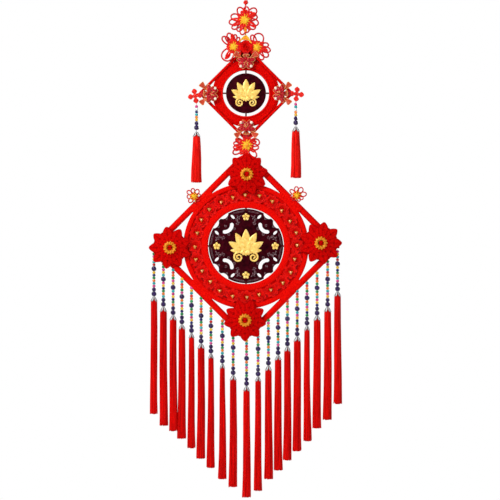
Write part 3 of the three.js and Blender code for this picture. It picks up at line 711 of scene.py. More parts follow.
# %% Rosette pair and middle rosette
KNOT = np.array([-0.5, -3.0, -155.0])
arch_points = [HUBS["left"] + [4, 0, 0], (-15, -6, -160), KNOT, (14, -6, -161), HUBS["right"] - [4, 0, 0]]
arch = through(arch_points, 40)
tie = through([KNOT, (-0.5, -6.8, -162), (-0.5, -6.8, -177)], 14)
ties = [cord(path, 1.5) for path in (arch + [0, 0, 1.4], arch - [0, 0, 1.4], tie)]
ties.append(button_knot(KNOT, 5.2, 1.2))
stem_middle = through([(0.5, -6.8, -382), HUBS["middle"], (1.9, -6.8, -421), (1.7, -8.5, -436)], 24)
stems = [cord(stem_middle + [shift, 0, 0], 1.6) for shift in (-3.4, 0, 3.4)]
for side, extra, replaces in [
    ("left", ties, ["rosette_pair"]),
    ("right", (), ()),
    ("middle", stems, ["rosette_middle"]),
]:
    rosette(f"{side}_rosette", HUBS[side], LOOPS[side], STRANDS[side], extra=extra, replaces=replaces)

# %% [markdown]
# Petals, leaves, thread points and relief all come from one form: a flat oval section that
# starts narrow, swells and closes to a point. A lift says how far each place on it stands out.


# %% Petals
def petals(centre, angles, root, length, half_width, thick, belly, blunt, lift, rings, sides):
    """Closed petals round a centre: rings of shape (petals, rings, sides, 3) in mm.

    Along s from 0 to 1 the half width is half_width * sin(pi s^belly)^blunt, and a section runs
    round an oval: across = cos phi, through = thick * sin phi * sin(pi s)^0.3. The lift(s, across)
    adds height towards the front."""
    s = np.linspace(0.03, 0.985, rings)[None, :, None]
    phi = circle(sides)[None, None, :]
    a = np.radians(np.asarray(angles, float))[:, None, None]
    sizes = (np.asarray(size, float) for size in (root, length, half_width))
    root, length, half_width = (np.broadcast_to(size, (len(angles),))[:, None, None] for size in sizes)
    across = np.cos(phi)
    width = half_width * np.sin(np.pi * s**belly) ** blunt
    height = thick * np.sin(phi) * np.sin(np.pi * s) ** 0.3 + (lift(s, across) if lift else 0)
    u = root + length * s
    v = width * across
    x, z = u * np.cos(a) - v * np.sin(a), u * np.sin(a) + v * np.cos(a)
    return np.asarray(centre, float) + np.stack([x, np.broadcast_to(-height, x.shape), z], -1)


def dome(centre, radius, height, rows=5, sides=14, start=0.1):
    """A low dome that faces the front: radius cos t and height sin t, closed by a flat back."""
    t = np.linspace(0, np.pi / 2 - start, rows)[:, None]
    a = circle(sides)[None, :]
    return np.asarray(centre, float) + front_ring(radius * np.cos(t), a, -height * np.sin(t))


# %% [markdown]
# Gold thread is wound over the heart of each rosette in stitches that cross in the middle. They
# make a solid button with thirteen blunt rays, and orange stitches show under them. The middle
# one has an orange heart.

# %% Gold stars
STARS = {"top": 15.5, "left": 13.5, "right": 13.5, "middle": 16}


def star(centre, reach, count=13, core=0.5, wide=0.09):
    """Uneven blunt rays round a domed button: a ray rises to the middle by 3 (1 - s)^1.2."""
    turn = np.arange(count) * 360 / count + 5 * np.sin(np.arange(count) * 2.1)
    rise = lambda s, across: 3.0 * (1 - s) ** 1.2 + 0.4
    uneven = reach * (0.88 + 0.12 * np.cos(np.arange(count) * 2.6))
    rays = petals(centre, turn + 90, 0, uneven, reach * wide, 0.9, 0.75, 0.4, rise, 8, 6)
    stitches = petals(centre, turn + 103, 0, reach * core * 1.15, reach * wide, 0.9, 0.75, 0.4, rise, 8, 6)
    return [skin(rays), skin(stitches), skin(dome(centre, reach * core * 0.8, 3.5, 5, 14))]


def underlay(centre, reach):
    """The orange stitches under a star: eighteen low slim petals, two thirds as long."""
    low = lambda s, across: 1.4 * (1 - s) + 0.2
    return skin(petals(centre, np.arange(18) * 20, 0, reach * 0.66, reach * 0.06, 0.5, 0.7, 0.7, low, 6, 6))


under = []
for side, reach in STARS.items():
    front = HUBS[side] + [0, -2.6 - (0.6 if side == "top" else 0), 0]
    make(f"gold_star_{side}", star(front, reach), gold_thread, [f"star_{side}"])
    under.append(underlay(front, reach))
heart = HUBS["middle"] + [0, -6.0, 0]
make("orange_stitches", [*under, skin(dome(heart, 4.6, 1.4, 4, 14))], orange_thread)

# %% [markdown]
# A gold cord links the top rosette to the pair. It is bound half way down with five turns of
# orange thread, and where it ends a bow of gold and orange threads spreads over the arch.

# %% Gold link
LINK = [(-3, 3.9, -101.2), (-2, 3.9, -112), (-1, 3.9, -125), (-0.7, 1.5, -139), (-0.5, -2, -149.1)]
BOW_ENDS = [  # x and z of each thread's end
    (-16, -155), (-13, -152), (-9, -150), (-5, -151), (-1, -152),
    (3, -152), (7, -152), (11, -155), (13, -159),
]
BINDING = [(0, 1.6), (2.4, 2.3), (4.8, 2.7), (7.2, 2.3), (9.6, 1.6)]  # each turn's way down and radius
link = through(LINK, 50)
bow_threads = [
    cord(through([(-0.5, -2, -139.5), (0.35 * x - 0.4, -8.4, -144), (x, -11, z)], 16), 1.6, 6)
    for x, z in BOW_ENDS
]
t = circle(16)
binding = []
for down, wide in BINDING:
    turn = np.stack([wide * np.cos(t) - 1.0, wide * np.sin(t) - 1, -120.0 - down + 0 * t], -1)
    binding.append(cord(turn, 1.3, 6, True, (0, 0, 1)))
make("gold_link_cord", [cord(link, 1.5, 10)], gold_thread, ["gold_link"])
make("gold_bow_threads", bow_threads[:3] + bow_threads[6:], gold_thread)
make("orange_binding", binding + bow_threads[3:6], orange_thread)

# %% [markdown]
# The ring, the tubes and the small frame are rounded mouldings. A ring is one cross section
# carried round its centre, and a bar is a rounded section carried along a line.


# %% Rounded mouldings
def turned_ring(centre, profile, segments=160):
    """A closed cross section of (radius, y) rows carried round the y axis."""
    r, y = np.array(profile, float).T
    a = circle(segments)[:, None]
    return skin(np.asarray(centre, float) + front_ring(r, a, y), closed=True)


def bow(r0, r1, low, high, count=9):
    """Part of a profile: a rounded rim from r0 to r1 that stands from y = low to y = high.

    y = low + (high - low) * (1 - |c|^3)^(1/3), with c from -1 to 1 across it."""
    c = np.cos(np.linspace(np.pi, 0, count))
    across = (r0 + r1) / 2 + (r1 - r0) / 2 * c
    return list(zip(across, low + (high - low) * (1 - np.abs(c) ** 3) ** (1 / 3)))


def bar(start, end, half_width, half_depth, power=2.4, round_end=2.0, sides=20):
    """A straight bar with a superellipse section, narrowed over its last few millimetres."""
    start, end = np.array(start, float), np.array(end, float)
    length = np.linalg.norm(end - start)
    inset = np.array([0, 0.35, 1.0, 1.6]) * round_end
    s = np.concatenate([inset, length - inset[::-1]]) / length
    scale = np.concatenate([[0.8, 0.93, 0.99, 1], [1, 0.99, 0.93, 0.8]])[:, None]
    along = (end - start) / length
    side = np.cross(along, [0, -1, 0])
    a = circle(sides)
    c, h = (np.sign(f(a)) * np.abs(f(a)) ** (2 / power) for f in (np.cos, np.sin))
    path = start + s[:, None] * (end - start)
    front = np.array([0, -1.0, 0])
    ring = half_width * c[None, :, None] * side + half_depth * h[None, :, None] * front
    return skin(path[:, None, :] + scale[..., None] * ring)


RING = np.array([0.0, 0.0, -644.5])  # centre of the large frame
ring_profile = (  # its rounded inner rim, the floor of the channel, and its rounded outer rim
    [(91.4, 7.5), (91, 6)]
    + bow(91, 108, -3.6, -7.6, 11)
    + [(109, -3.9), (138, -3.9)]
    + bow(138.5, 150.4, -3.6, -7.6, 9)
    + [(150.4, 6), (149.8, 7.5)]
)
make("flocked_ring", [turned_ring(RING, ring_profile)], flock, ["large_ring"])

# %% [markdown]
# Four straight tubes lie against the ring, each stopped short of the corner under a flower. A
# flat block bridges each tube and the ring's rim, where the mouldings are welded together.

# %% Tubes and welded blocks
TUBES = {"tube_upper_right": 45, "tube_upper_left": 135, "tube_lower_left": 225, "tube_lower_right": 315}
TUBE_LINE, TUBE_HALF = 155.4, 126.4  # from the ring's centre to a tube's middle, and half its length
WELD_LINE, WELD_HALF = 152.6, 33  # the same for a welded block
blocks = []
for name, degrees in TUBES.items():
    out, along = compass(np.radians(degrees))
    middle = RING + TUBE_LINE * out
    shell = bar(middle - TUBE_HALF * along, middle + TUBE_HALF * along, 7.8, 7.5, 2.0, 1.2, 28)
    make("flocked_" + name, [shell], flock, [name])
    weld = RING + WELD_LINE * out + [0, -3.4, 0]
    blocks.append(bar(weld - WELD_HALF * along, weld + WELD_HALF * along, 9, 5.1, 5.0, 1.0, 28))
make("welded_blocks", blocks, flock)

# %% [markdown]
# The small frame is a flat ring inside four rounded strips. Its corners are open beside the
# ring.

# %% Small frame
SMALL = np.array([0.0, 0.0, -278.0])  # centre of the small frame
STRIP_LINE = 77.9  # from the centre to a strip's middle
turns = np.radians([0, 90, 180, 270])
square = []
for a, b in zip(turns, np.roll(turns, -1)):
    p, q = (STRIP_LINE * np.sqrt(2) * compass(t)[0] for t in (a, b))
    square += [p + (q - p) * f for f in (0.012, 0.04, 0.2, 0.4, 0.6, 0.8, 0.96, 0.988)]
small_profile = (
    [(56, 5), (55.2, 4.2)]
    + bow(55.2, 60, -3, -5.2, 9)
    + [(60.6, -4.0), (72.6, -4.2), (73.4, -3.2), (79.6, -3.2), (80.4, -2.4), (80.4, 4.2), (79.6, 5)]
)
make(
    "flocked_small_frame",
    [turned_ring(SMALL, small_profile), cord(SMALL + np.array(square), 3.7, 16, closed=True, flat=1.5)],
    flock,
    ["small_frame"],
)

# %% [markdown]
# Each strip lies against the ring, and the joint between them is in shade. A thin dark strip of
# velvet along each joint is a painted shadow line.

# %% Painted shadow lines
SEAM_LINE, SEAM_HALF = 73.6, 30  # from the centre to a seam, and half its length
seams = []
for a in turns + np.pi / 4:
    out, along = compass(a)
    middle = SMALL + SEAM_LINE * out + [0, -3.7, 0]
    seams.append(bar(middle - SEAM_HALF * along, middle + SEAM_HALF * along, 0.4, 0.8, 2.0, 1.0, 8))
# Thin dark velvet strips: painted shadow lines along the joints.
make("painted_shadow_lines", seams, velvet)

# %% [markdown]
# A band of twenty-four satin ribbon roses fills the ring's channel. Each rose is one ribbon,
# rolled up from its heart: its turns lean outwards, so that the front shows their inner faces
# and the fold of each turn as a curved line. A painted shade along the ribbon's edges darkens
# these lines.


# %% Satin roses
def satin_rose(centre, radius, turn, height=8.0, wraps=2.7):
    """A ribbon rolled in a spiral over a whorl of eight low petals.

    The ribbon is a wall whose foot lies at radius (0.74 - 0.7 s). Its top leans out by
    0.33 radius (1 - 0.6 s) and stands at height (0.36 + 0.64 s). It waves by sin 2.5 a, so that
    each turn looks like two or three petals."""
    s = np.linspace(0, 1, 64)[:, None]
    a = np.radians(turn) + 2 * np.pi * wraps * s**0.86
    across = np.array([0.3, 0.0, 0.0, 0.45, 0.9, 1.0, 0.95, 0.5])[None, :]
    side = np.array([-0.4, -0.4, 0.35, 0.35, 0.4, 0.0, -0.4, -0.4])[None, :]
    wave = 1 + 0.06 * np.sin(2.5 * a)
    reach = radius * ((0.74 - 0.7 * s) * wave + 0.33 * (1 - 0.6 * s) * across**1.3) + side
    up = height * (0.36 + 0.64 * s) * across + 0.6 * np.sin(2.5 * a) * across
    rise = lambda s, across: 0.9 + 1.6 * s + 0.5 * across * across
    whorl = turn + np.arange(8) * 45
    low = petals(centre, whorl, 2, 1.2 * radius, 0.5 * radius, 0.4, 1.1, 0.5, rise, 7, 8)
    heart = dome(centre, radius * 0.3, height * 0.86, 4, 12)
    return [skin(np.asarray(centre, float) + front_ring(reach, a, -up)), skin(low), skin(heart)]


ROSES, ROSE_LINE = 24, 122.5  # how many, and the radius of the circle they stand on
around = np.radians(np.arange(ROSES) * 360 / ROSES)
rose_centres = RING + front_ring(ROSE_LINE, around, -4.6)
band_profile = [(112, -4.2), (133, -4.2), (133, -5.8), (112, -5.8)]
rose_shells = [turned_ring(RING, band_profile, 120)]
for k, centre in enumerate(rose_centres):
    rose_shells += satin_rose(centre, 13.0, 37 * k)
make("satin_rose_band", rose_shells, satin, ["rose_band"])
top_rose = np.array([-0.5, -9.4, -167.0])
rising = lambda s, across: 2 + 2 * s - across**2
level = lambda s, across: 1.5 - across**2
lengths = [14, 14, 15, 15]
leaves = petals(top_rose + [0, -0.5, 0], [5, 175, 205, 335], 3, lengths, 5.4, 0.4, 1.0, 0.6, rising, 10, 10)
single = petals((-51, -9.5, -197), [42], 0, 19, 4.6, 0.4, 1.0, 0.6, level, 12, 10)
make("satin_rose_top", satin_rose(top_rose, 11.4, 20, 9.5), satin, ["top_rose"])
make("satin_leaves", [skin(leaves), skin(single)], satin)

# %% [markdown]
# The stones are small faceted hearts of peach resin, here a low six-sided dome on three
# green-gold leaves. They are glued by hand, so none sits quite in the middle of its rose.

# %% Rose hearts
drift = np.stack([2.0 * np.sin(around * 7), 0 * around - 6.6, 2.0 * np.cos(around * 5)], -1)
seats = rose_centres + drift
stones = np.stack([dome(seat - [0, 0.9, 0], 2.9, 1.8, 3, 6, 0.35) for seat in seats])
thirds = [30, 150, 270]
settings = np.stack([petals(seat, thirds, 0.4, 4.4, 2.0, 0.3, 1.0, 0.6, None, 6, 8) for seat in seats])
make("rose_heart_stones", [skin(stones)], rhinestone)
olive_foil = cast_material(
    "olive_gold_foil",
    {"Roughness": 0.3, "Metallic": 0.6},
    [(0.3, "#7A5C10"), (0.7, "#D8A830")],
    scale=300.0, strength=0.2,
)
make("rose_heart_leaves", [skin(settings)], olive_foil)

# %% [markdown]
# Each velvet flower has three whorls of nine petals. A petal is arched along its length, dips at
# its midrib and has faint side veins.

# %% Velvet flowers
FLOWERS = {  # centre x and z, the way the first petal points, and the tab for a bead string
    "top": (1.7, -472.8, 90, None),
    "left": (-181.9, -648.5, 180, (-218.5, -650)),
    "right": (179.0, -637.4, 0, (218, -645)),
    "bottom": (-2.4, -821.8, 270, (1.4, -858)),
}


def velvet_flower(x, z, points):
    """Three whorls of pointed petals on a round board."""
    shells = []
    for reach, wide, base, rise, droop, spin in [  # all in mm, but the spin in degrees
        (51.5, 15.6, 0.0, 3.2, 1.6, 0),
        (41.5, 12.4, 2.6, 4.2, 3.4, 20),
        (30, 9.2, 5.4, 4.2, 3.4, 0),
    ]:
        angles = points + spin + np.arange(9) * 40

        def lift(s, across, b=base, r=rise, d=droop):
            vein = np.exp(-((across / 0.14) ** 2))
            veins = np.cos(26 * s - 5 * np.abs(across))
            arch = b + r * np.sin(np.pi * s) - d * s
            return arch - 0.9 * vein * (1 - s) + 0.22 * veins * s - 0.9 * across**2

        whorl = petals((x, -15.6, z), angles, 4, reach - 4, wide, 0.45, 0.78, 0.66, lift, 20, 16)
        shells.append(skin(whorl))
    board = [(8, -7.8), (35, -7.8), (35, -10.3), (22, -10.3), (22, -16), (8, -16)]
    return shells + [turned_ring((x, 0, z), board, 48)]


hearts = [skin(dome((x, -25.0, z), 6.5, 3.4, 5, 14)) for x, z, _, _ in FLOWERS.values()]
make("flower_hearts", hearts, velvet)
for side, (x, z, points, tab) in FLOWERS.items():
    shells = velvet_flower(x, z, points)
    if tab:
        shells.append(bar((tab[0] - 6, -4.9, tab[1]), (tab[0] + 6, -4.9, tab[1]), 5, 3.9, 4.0, 0.8))
    make(f"velvet_flower_{side}", shells, velvet, [f"flower_{side}"])

# %% [markdown]
# In the middle of each flower a gold cord is wound round a ring, thirteen times, and the red
# heart shows through.


# %% Gold coils
def winding(centre, line, radius, wraps, strand):
    """A cord wound round a ring: distance line + radius cos(k a), height 0.8 radius sin(k a)."""
    a = circle(wraps * 14)
    out, up = np.cos(wraps * a), np.sin(wraps * a)
    way = front_ring(1, a, 0)
    front = np.array([0, -1.0, 0])
    path = (line + radius * out)[:, None] * way + (0.8 * radius * up)[:, None] * front
    guide = out[:, None] * way + up[:, None] * front
    return cord(np.asarray(centre) + path, strand, 6, closed=True, guide=guide)


COIL_LINE = 11.2  # radius of the ring that the cord is wound round
b = circle(10)
core = np.stack([COIL_LINE + 2.4 * np.cos(b), -25.8 + 2.0 * np.sin(b)], -1)
for side, (x, z, _, _) in FLOWERS.items():
    shells = [winding((x, -25.9, z), COIL_LINE, 3.5, 13, 1.5), turned_ring((x, 0, z), core, 40)]
    make(f"gold_coil_{side}", shells, coil_thread, [f"coil_{side}"])

# %% [markdown]
# Small rosettes of thinner cord are tied over the upper tubes, each with its own little star.

# %% Mini rosettes
MINIS = {  # place in x and z, and the rows of its loops as above
    "left": (-124.4, -525.6, [(57, 20.5, 5), (101, 20.5, 4.6), (141, 22, 4.6), (183, 18, 5),
                              (230, 19.5, 4.8), (275, 17, 4), (320, 17, 4), (12, 17, 4)]),
    "right": (121.7, -522.8, [(142, 21.5, 4.4), (93, 22, 4.8), (53, 23.5, 5.6), (8, 24.5, 5.4),
                              (-30, 18.5, 4.6), (-65, 17, 4), (230, 17, 4), (185, 17, 4)]),
}
for side, (x, z, rows) in MINIS.items():
    hub = np.array([x, -9.3, z])
    rosette(f"mini_{side}", hub, rows, (), 1.45, 0.8, replaces=[f"mini_rosette_{side}"])
    make(f"mini_star_{side}", star(hub + [0, -2.8, 0], 14, 9, 0.42, 0.07), gold_thread)

# %% [markdown]
# The discs are cut from board. A flat curve with holes is the short way to such a sheet: its
# fill gives the faces, its extrusion the thickness and its bevel the eased edge.


# %% Lacquered discs
def cut_sheet(name, outlines, half_depth, centre, material, replaces=(), ease=0.5):
    """A sheet cut along closed outlines in x and z, eased at its edges, as a mesh."""
    curve = bpy.data.curves.new(name, "CURVE")
    curve.dimensions, curve.fill_mode = "2D", "BOTH"
    curve.extrude, curve.bevel_depth = (half_depth - ease) / 1000, ease / 1000
    curve.offset, curve.bevel_resolution = -ease / 1000, 1
    for outline in outlines:
        spline = curve.splines.new("POLY")
        spline.points.add(len(outline) - 1)
        flat = np.zeros((len(outline), 4))
        flat[:, :2], flat[:, 3] = np.asarray(outline) / 1000, 1
        spline.points.foreach_set("co", flat.ravel())
        spline.use_cyclic_u = True
    holder = bpy.data.objects.new(name + "_curve", curve)
    mesh = bpy.data.meshes.new_from_object(holder)
    bpy.data.objects.remove(holder)
    bpy.data.curves.remove(curve)
    mesh.name = name
    co = np.zeros(len(mesh.vertices) * 3)
    mesh.vertices.foreach_get("co", co)
    x, y, z = co.reshape(-1, 3).T
    turned = np.stack([x, -z, y], -1) + np.asarray(centre) / 1000
    mesh.vertices.foreach_set("co", turned.ravel())
    work = bmesh.new()
    work.from_mesh(mesh)
    bmesh.ops.remove_doubles(work, verts=work.verts, dist=2e-6)
    work.to_mesh(mesh)
    work.free()
    mesh.materials.clear()
    return settle(name, mesh, material, replaces)


def round_outline(radius, count, centre=(0, 0), long=1.0, turn=0.0):
    """A circle, or an oval stretched by long along the direction turn."""
    a = circle(count)
    u, v = radius * long * np.cos(a), radius * np.sin(a)
    c, s = np.cos(turn), np.sin(turn)
    return np.stack([centre[0] + u * c - v * s, centre[1] + u * s + v * c], -1)


cut_sheet("lacquer_disc_small", [round_outline(48, 96)], 2.5, SMALL, lacquer, ["small_disc"])

# %% [markdown]
# Felt fills the top corner of each frame. In the small one it closes the gap between the ring and
# the strips, where the applique is sewn on. In the large one it lies on the flower's board and
# makes a straight-sided point behind the topmost petal.

# %% Felt gussets
GUSSETS = {  # outline in x and z, the y of its middle, and its finish
    "small": ([(0, -171), (-33, -204), (0, -196), (33, -204)], -3.8, velvet),
    "large": ([(1.5, -421.4), (-33.5, -439.5), (1.5, -449.5), (35.5, -440.5)], -10.9, flock),
}
for side, (corners, depth, felt) in GUSSETS.items():
    name = f"felt_gusset_{side}"
    cut_sheet(name, [np.array(corners)], 0.6, (0, depth, 0), felt, ease=0.2)

# %% [markdown]
# The large disc is pierced. Its rim has two shallow bites and a nose on each diagonal, and
# behind them lie a bent slot and two ovals.

# %% Pierced disc
rim_angle = np.linspace(0, 360, 720, endpoint=False)
share = np.clip((np.abs(rim_angle % 90 - 45) - 2.5) / 14, 0, 1)
rim = 89.3 - 6.5 * np.sin(np.pi * share) ** 0.6
SLOT_LINE, SLOT_HALF = 17.2, 4.3  # radius of a slot's bend, and half its width
diagonals = np.radians([45, 135, 225, 315])


def round_about(middle, radius, angle):
    """Points at these angles round a middle, in x and z."""
    return middle + radius * np.stack([np.cos(angle), np.sin(angle)], -1)


outlines = [rim[:, None] * round_about(0, 1, np.radians(rim_angle))]
cap = np.linspace(0, np.pi, 8)[1:-1]
for diagonal in diagonals:
    middle = round_about(0, 72.4, diagonal)
    sweep = diagonal + np.pi + np.radians(46) * np.linspace(-1, 1, 17)
    outer = round_about(middle, SLOT_LINE + SLOT_HALF, sweep)
    inner = round_about(middle, SLOT_LINE - SLOT_HALF, sweep[::-1])
    high = round_about(round_about(middle, SLOT_LINE, sweep[-1]), SLOT_HALF, sweep[-1] + cap)
    low = round_about(round_about(middle, SLOT_LINE, sweep[0]), SLOT_HALF, sweep[0] + np.pi + cap)
    outlines.append(np.concatenate([outer, high, inner, low]))
    for side in (-1, 1):
        place = round_about(0, 77, diagonal + side * np.radians(20.5))
        outlines.append(round_outline(3, 20, place, 2.0, diagonal))
cut_sheet("lacquer_disc_large", outlines, 3.0, RING, lacquer, ["large_disc"])

# %% [markdown]
# Four short pegs hold each disc in its ring.

# %% Pegs
pegs = []
for centre, low, high, radius in [(SMALL, 45, 55.1, 1.9), (RING, 84.5, 91, 2.2)]:
    for a in turns:
        inner, outer = (centre + reach * compass(a)[0] + np.array([0, -1.6, 0]) for reach in (low, high))
        pegs.append(bar(inner, outer, radius, radius, 2.0, 0.3, 12))
make("disc_pegs", pegs, peg_enamel)

# %% [markdown]
# In the middle of both discs a lotus opens over two cloud curls. Petals are domed with a
# crease down the middle, and the clouds are spirals of rounded cord, all in gold.


# %% Gold lotus
def spiral(centre, radius, turns_count, hand, start, thick, front):
    """A flat curl whose distance from its centre falls evenly as it turns."""
    t = np.linspace(0, 1, 56)
    reach = radius * (1 - 0.86 * t)
    a = np.radians(start) + hand * 2 * np.pi * turns_count * t
    path = front_ring(reach, a, front) + [centre[0], 0, centre[1]]
    return cord_rings(path, thick * (1 - 0.35 * t), 8, flat=0.5)


LOTUS = [  # how far up, angles, roots, lengths, half widths, thickness, how far raised, rings, sides
    (0, [90, 61, 119, 30, 150], [4, 5, 5, 6, 6], [51, 47, 47, 42, 42], [10.4, 9.2, 9.2, 8.6, 8.6],
     0.7, 0.7, 20, 16),
    (0, [90, 64, 116], 3, 30, 6.6, 0.6, 1.2, 16, 14),
    (0, [6, 174], 8, 30, 5.4, 0.6, 0.5, 14, 14),
    (3, [200, 232, 270, 308, 340], 0, [16, 14, 13, 14, 16], 4.4, 0.6, 1.6, 12, 14),
]


def creased(raised):
    """A domed petal's lift: sin pi s (1.5 (1 - across^2) - 0.55 exp(-(across / 0.12)^2)) + raised."""

    def lift(s, across):
        swell = np.sin(np.pi * s)
        return 1.5 * (1 - across**2) * swell - 0.55 * np.exp(-((across / 0.12) ** 2)) * swell + raised

    return lift


def lotus(centre, scale, front):
    """Five outer petals, three inner ones on top, two low leaves, five sepals and two curls."""
    base = np.asarray(centre, float) + [0, front, -14 * scale]
    shells = []
    for up, angles, root, length, wide, thick, raised, rings, sides in LOTUS:
        sizes = (np.array(size) * scale for size in (root, length, wide))
        at = base + [0, 0, up * scale]
        whorl = petals(at, angles, *sizes, thick, 0.9, 0.8, creased(raised), rings, sides)
        shells.append(skin(whorl))
    low = front - 0.9
    for hand in (-1, 1):
        middle = (centre[0] + hand * 18 * scale, centre[2] - 27 * scale)
        shells.append(skin(spiral(middle, 11.6 * scale, 1.6, -hand, 100, 2.5 * scale, low)))
        stalk = scale * np.array([[0, 0, -18], [hand * 7, 0, -17.5], [hand * 14, 0, -16]])
        shells.append(cord(np.array(centre) + stalk + [0, low, 0], 1.9 * scale, 8, flat=0.5))
    return shells


make("gold_lotus_small", lotus(SMALL, 0.84, -2.6), gold_paint, ["small_ornament"])
make("gold_lotus_large", lotus(RING, 1.0, -3.1), gold_paint, ["large_ornament"])

# %% [markdown]
# Four small gold blossoms stand round the lotus on the large disc, and fine carved strokes flank
# them. The strokes are ridges of the same lacquer, painted a little paler as a painted highlight.

# %% Blossoms and carving
BOARD_FRONT = np.array([0, -3.1, 0])
CURLS = [  # distance from the centre, angle from the diagonal, radius and hand
    (58, 24, 4.6, 1), (58, -24, 4.6, -1), (80, 9.5, 3.0, 1), (80, -9.5, 3.0, -1), (66, 26, 3.2, -1),
    (66, -26, 3.2, 1), (50, 10, 3.8, 1), (50, -10, 3.8, -1), (68.5, 0, 3.4, 1),
]
puff = lambda s, across: 0.6 + 0.9 * (1 - across**2) * np.sin(np.pi * s)
level = lambda s, across: 0.3 + 0 * s * across
blossoms, strokes = [], []
for a in turns + np.pi / 2:
    at = RING + 70 * compass(a)[0] + BOARD_FRONT
    blossoms.append(skin(petals(at, 90 + np.arange(5) * 72, 1.6, 7.4, 3.4, 0.4, 1.3, 0.5, puff, 8, 10)))
    blossoms.append(skin(dome(at, 1.7, 1.9, 4, 10)))
    for hand in (-1, 1):
        for step, spread in enumerate((13.5, 18.5)):
            b = a + hand * np.radians(spread)
            leaf = RING + (72 - 3 * step) * compass(b)[0] + BOARD_FRONT
            tilts = np.degrees(b) + hand * (50 + 20 * step) + np.array([0, 120, 240])
            strokes.append(skin(petals(leaf, tilts, 0.4, 6.5 - step, 1.1, 0.3, 1.0, 0.8, level, 6, 6)))
        for radius, low, high in ((84.6, 2, 22), (82.4, 4, 20), (59, 14, 25)):
            t = np.radians(np.linspace(low, high, 14)) * hand + a
            strokes.append(cord(RING + front_ring(radius, t, -3.15), 0.55, 6))
for diagonal in diagonals:
    for far, spread, radius, hand in CURLS:
        b = diagonal + np.radians(spread)
        at = (RING[0] + far * np.cos(b), RING[2] + far * np.sin(b))
        strokes.append(skin(spiral(at, radius, 1.3, hand, np.degrees(b), 0.62, -3.1)))
make("gold_blossoms", blossoms, gold_paint)
# The paler colour of the strokes is a painted highlight on the carved ridges.
carving = cast_material(
    "lacquer_carving_painted_highlight",
    {"Roughness": 0.35, "Coat Weight": 0.3},
    [(0.35, "#48242E"), (0.7, "#8A6A72")],
    scale=260.0, strength=0.2,
)
make("carved_strokes", strokes, carving)

# %% [markdown]
# A gold-edged applique covers each corner of the small frame. Coral organza fins point outwards,
# rolled cerise petals fill the middle, and two pearls lie towards the disc. Gold cord edges
# every fin.

# %% Appliques
APPLIQUES = {  # centre x and z, the way the pearls face, and how far from it each fin points
    "top": (0, -201.0, -90, 124),
    "left": (-86.5, -279.5, 0, 132),
    "right": (84, -279, 180, 132),
    "bottom": (0.5, -362, 90, 127),
}


def edged(shape):
    """The outline of each petal in a stack of rings, as a thin closed cord along its two edges."""
    half = shape.shape[2] // 2
    outline = np.concatenate([shape[:, :, 0], shape[:, ::-1, half]], axis=1)
    return cord(outline - [0, 0.35, 0], 0.6, 5, closed=True)


wave = lambda s, across: 1.2 + 3.2 * s**1.5 + 1.2 * across * np.sin(4 * s)
curl = lambda s, across: 3 + 4.6 * np.sin(np.pi * s) * (1 - 0.8 * across**2)
higher = lambda s, across: curl(s, across) + 2.4
rise = lambda s, across: 0.8 + 1.2 * s
fins, rolls, edges, pearls = [], [], [], []
for x, z, facing, spread in APPLIQUES.values():
    pair, bowl, tuck, root = (
        petals((x, -8.8, z), facing + np.array(angles), *sizes)
        for angles, *sizes in [
            ([spread, -spread, 162, -162], 6, [27, 27, 10, 10], [6.8, 6.8, 4, 4],
             0.3, 7.0, 0.22, wave, 20, 12),
            ([100, -100, 62, -62, 24, -24], 2, [21, 21, 18, 18, 19, 19], [5.6, 5.6, 5, 5, 4.6, 4.6],
             0.5, 1.1, 0.6, curl, 12, 12),
            ([80, -80, 0, 120, -120, 180], 0, [13, 13, 13, 14, 14, 10], 3.6, 0.5, 1.1, 0.6, higher, 10, 10),
            ([172, -172], 4, 19, 5.2, 0.4, 1.0, 0.6, rise, 8, 10),
        ]
    )
    fins.append(skin(pair))
    rolls += [skin(root), skin(bowl), skin(tuck)]
    edges += [edged(pair), edged(bowl), edged(tuck[:4])]
    c, s = np.cos(np.radians(facing)), np.sin(np.radians(facing))
    for side in (-1, 1):
        pearls.append([x + 13 * c - side * 12.5 * s, -14.5, z + 13 * s + side * 12.5 * c])
        v = np.array([[2, 0.6], [6, 2.2], [10.5, 4.6]]) * [1, side]
        u, v = v.T
        points = np.stack([x + u * c - v * s, 0 * u - 16.6, z + u * s + v * c], -1)
        edges.append(cord(points, 0.9, 6))
make("applique_fins", fins, coral_organza, [f"applique_{side}" for side in APPLIQUES])
make("applique_rolls", rolls, cerise_foil)
make("applique_gold_edges", edges, peach_thread)

# %% [markdown]
# Beads are balls with a hole, threaded on a line. A bead's skin runs from near one pole to near
# the other, and a small flat closes each end where the thread goes in.


# %% Beads
SMALL_BEAD = 3.8


def balls(places, radius, rows=7, sides=12):
    """Beads: radius cos^p t out and f radius sin t up, with t within 78 degrees.

    The small beads are cut from rod, so they are boxier: p = 0.5 and f = 0.86 against 0.8 and 1."""
    places = np.asarray(places, float).reshape(-1, 3)
    radius = np.broadcast_to(radius, (len(places),))[:, None, None]
    power, tall = (np.where(radius == SMALL_BEAD, low, high) for low, high in ((0.5, 0.8), (0.86, 1.0)))
    t = np.radians(np.linspace(-78, 78, rows))[None, :, None]
    a = circle(sides)[None, None, :]
    out = radius * np.cos(t) ** power
    ball = np.stack([out * np.cos(a), out * np.sin(a), tall * radius * np.sin(t) + 0 * a], -1)
    return skin(places[:, None, None, :] + ball)


make("applique_pearls", [balls(pearls, 3.6, 9, 16)], pearl)

# %% [markdown]
# Clover knots hang at the side corners. Each lobe is a flat pointed coil of cord, and strands
# that cross in the middle tie them together.

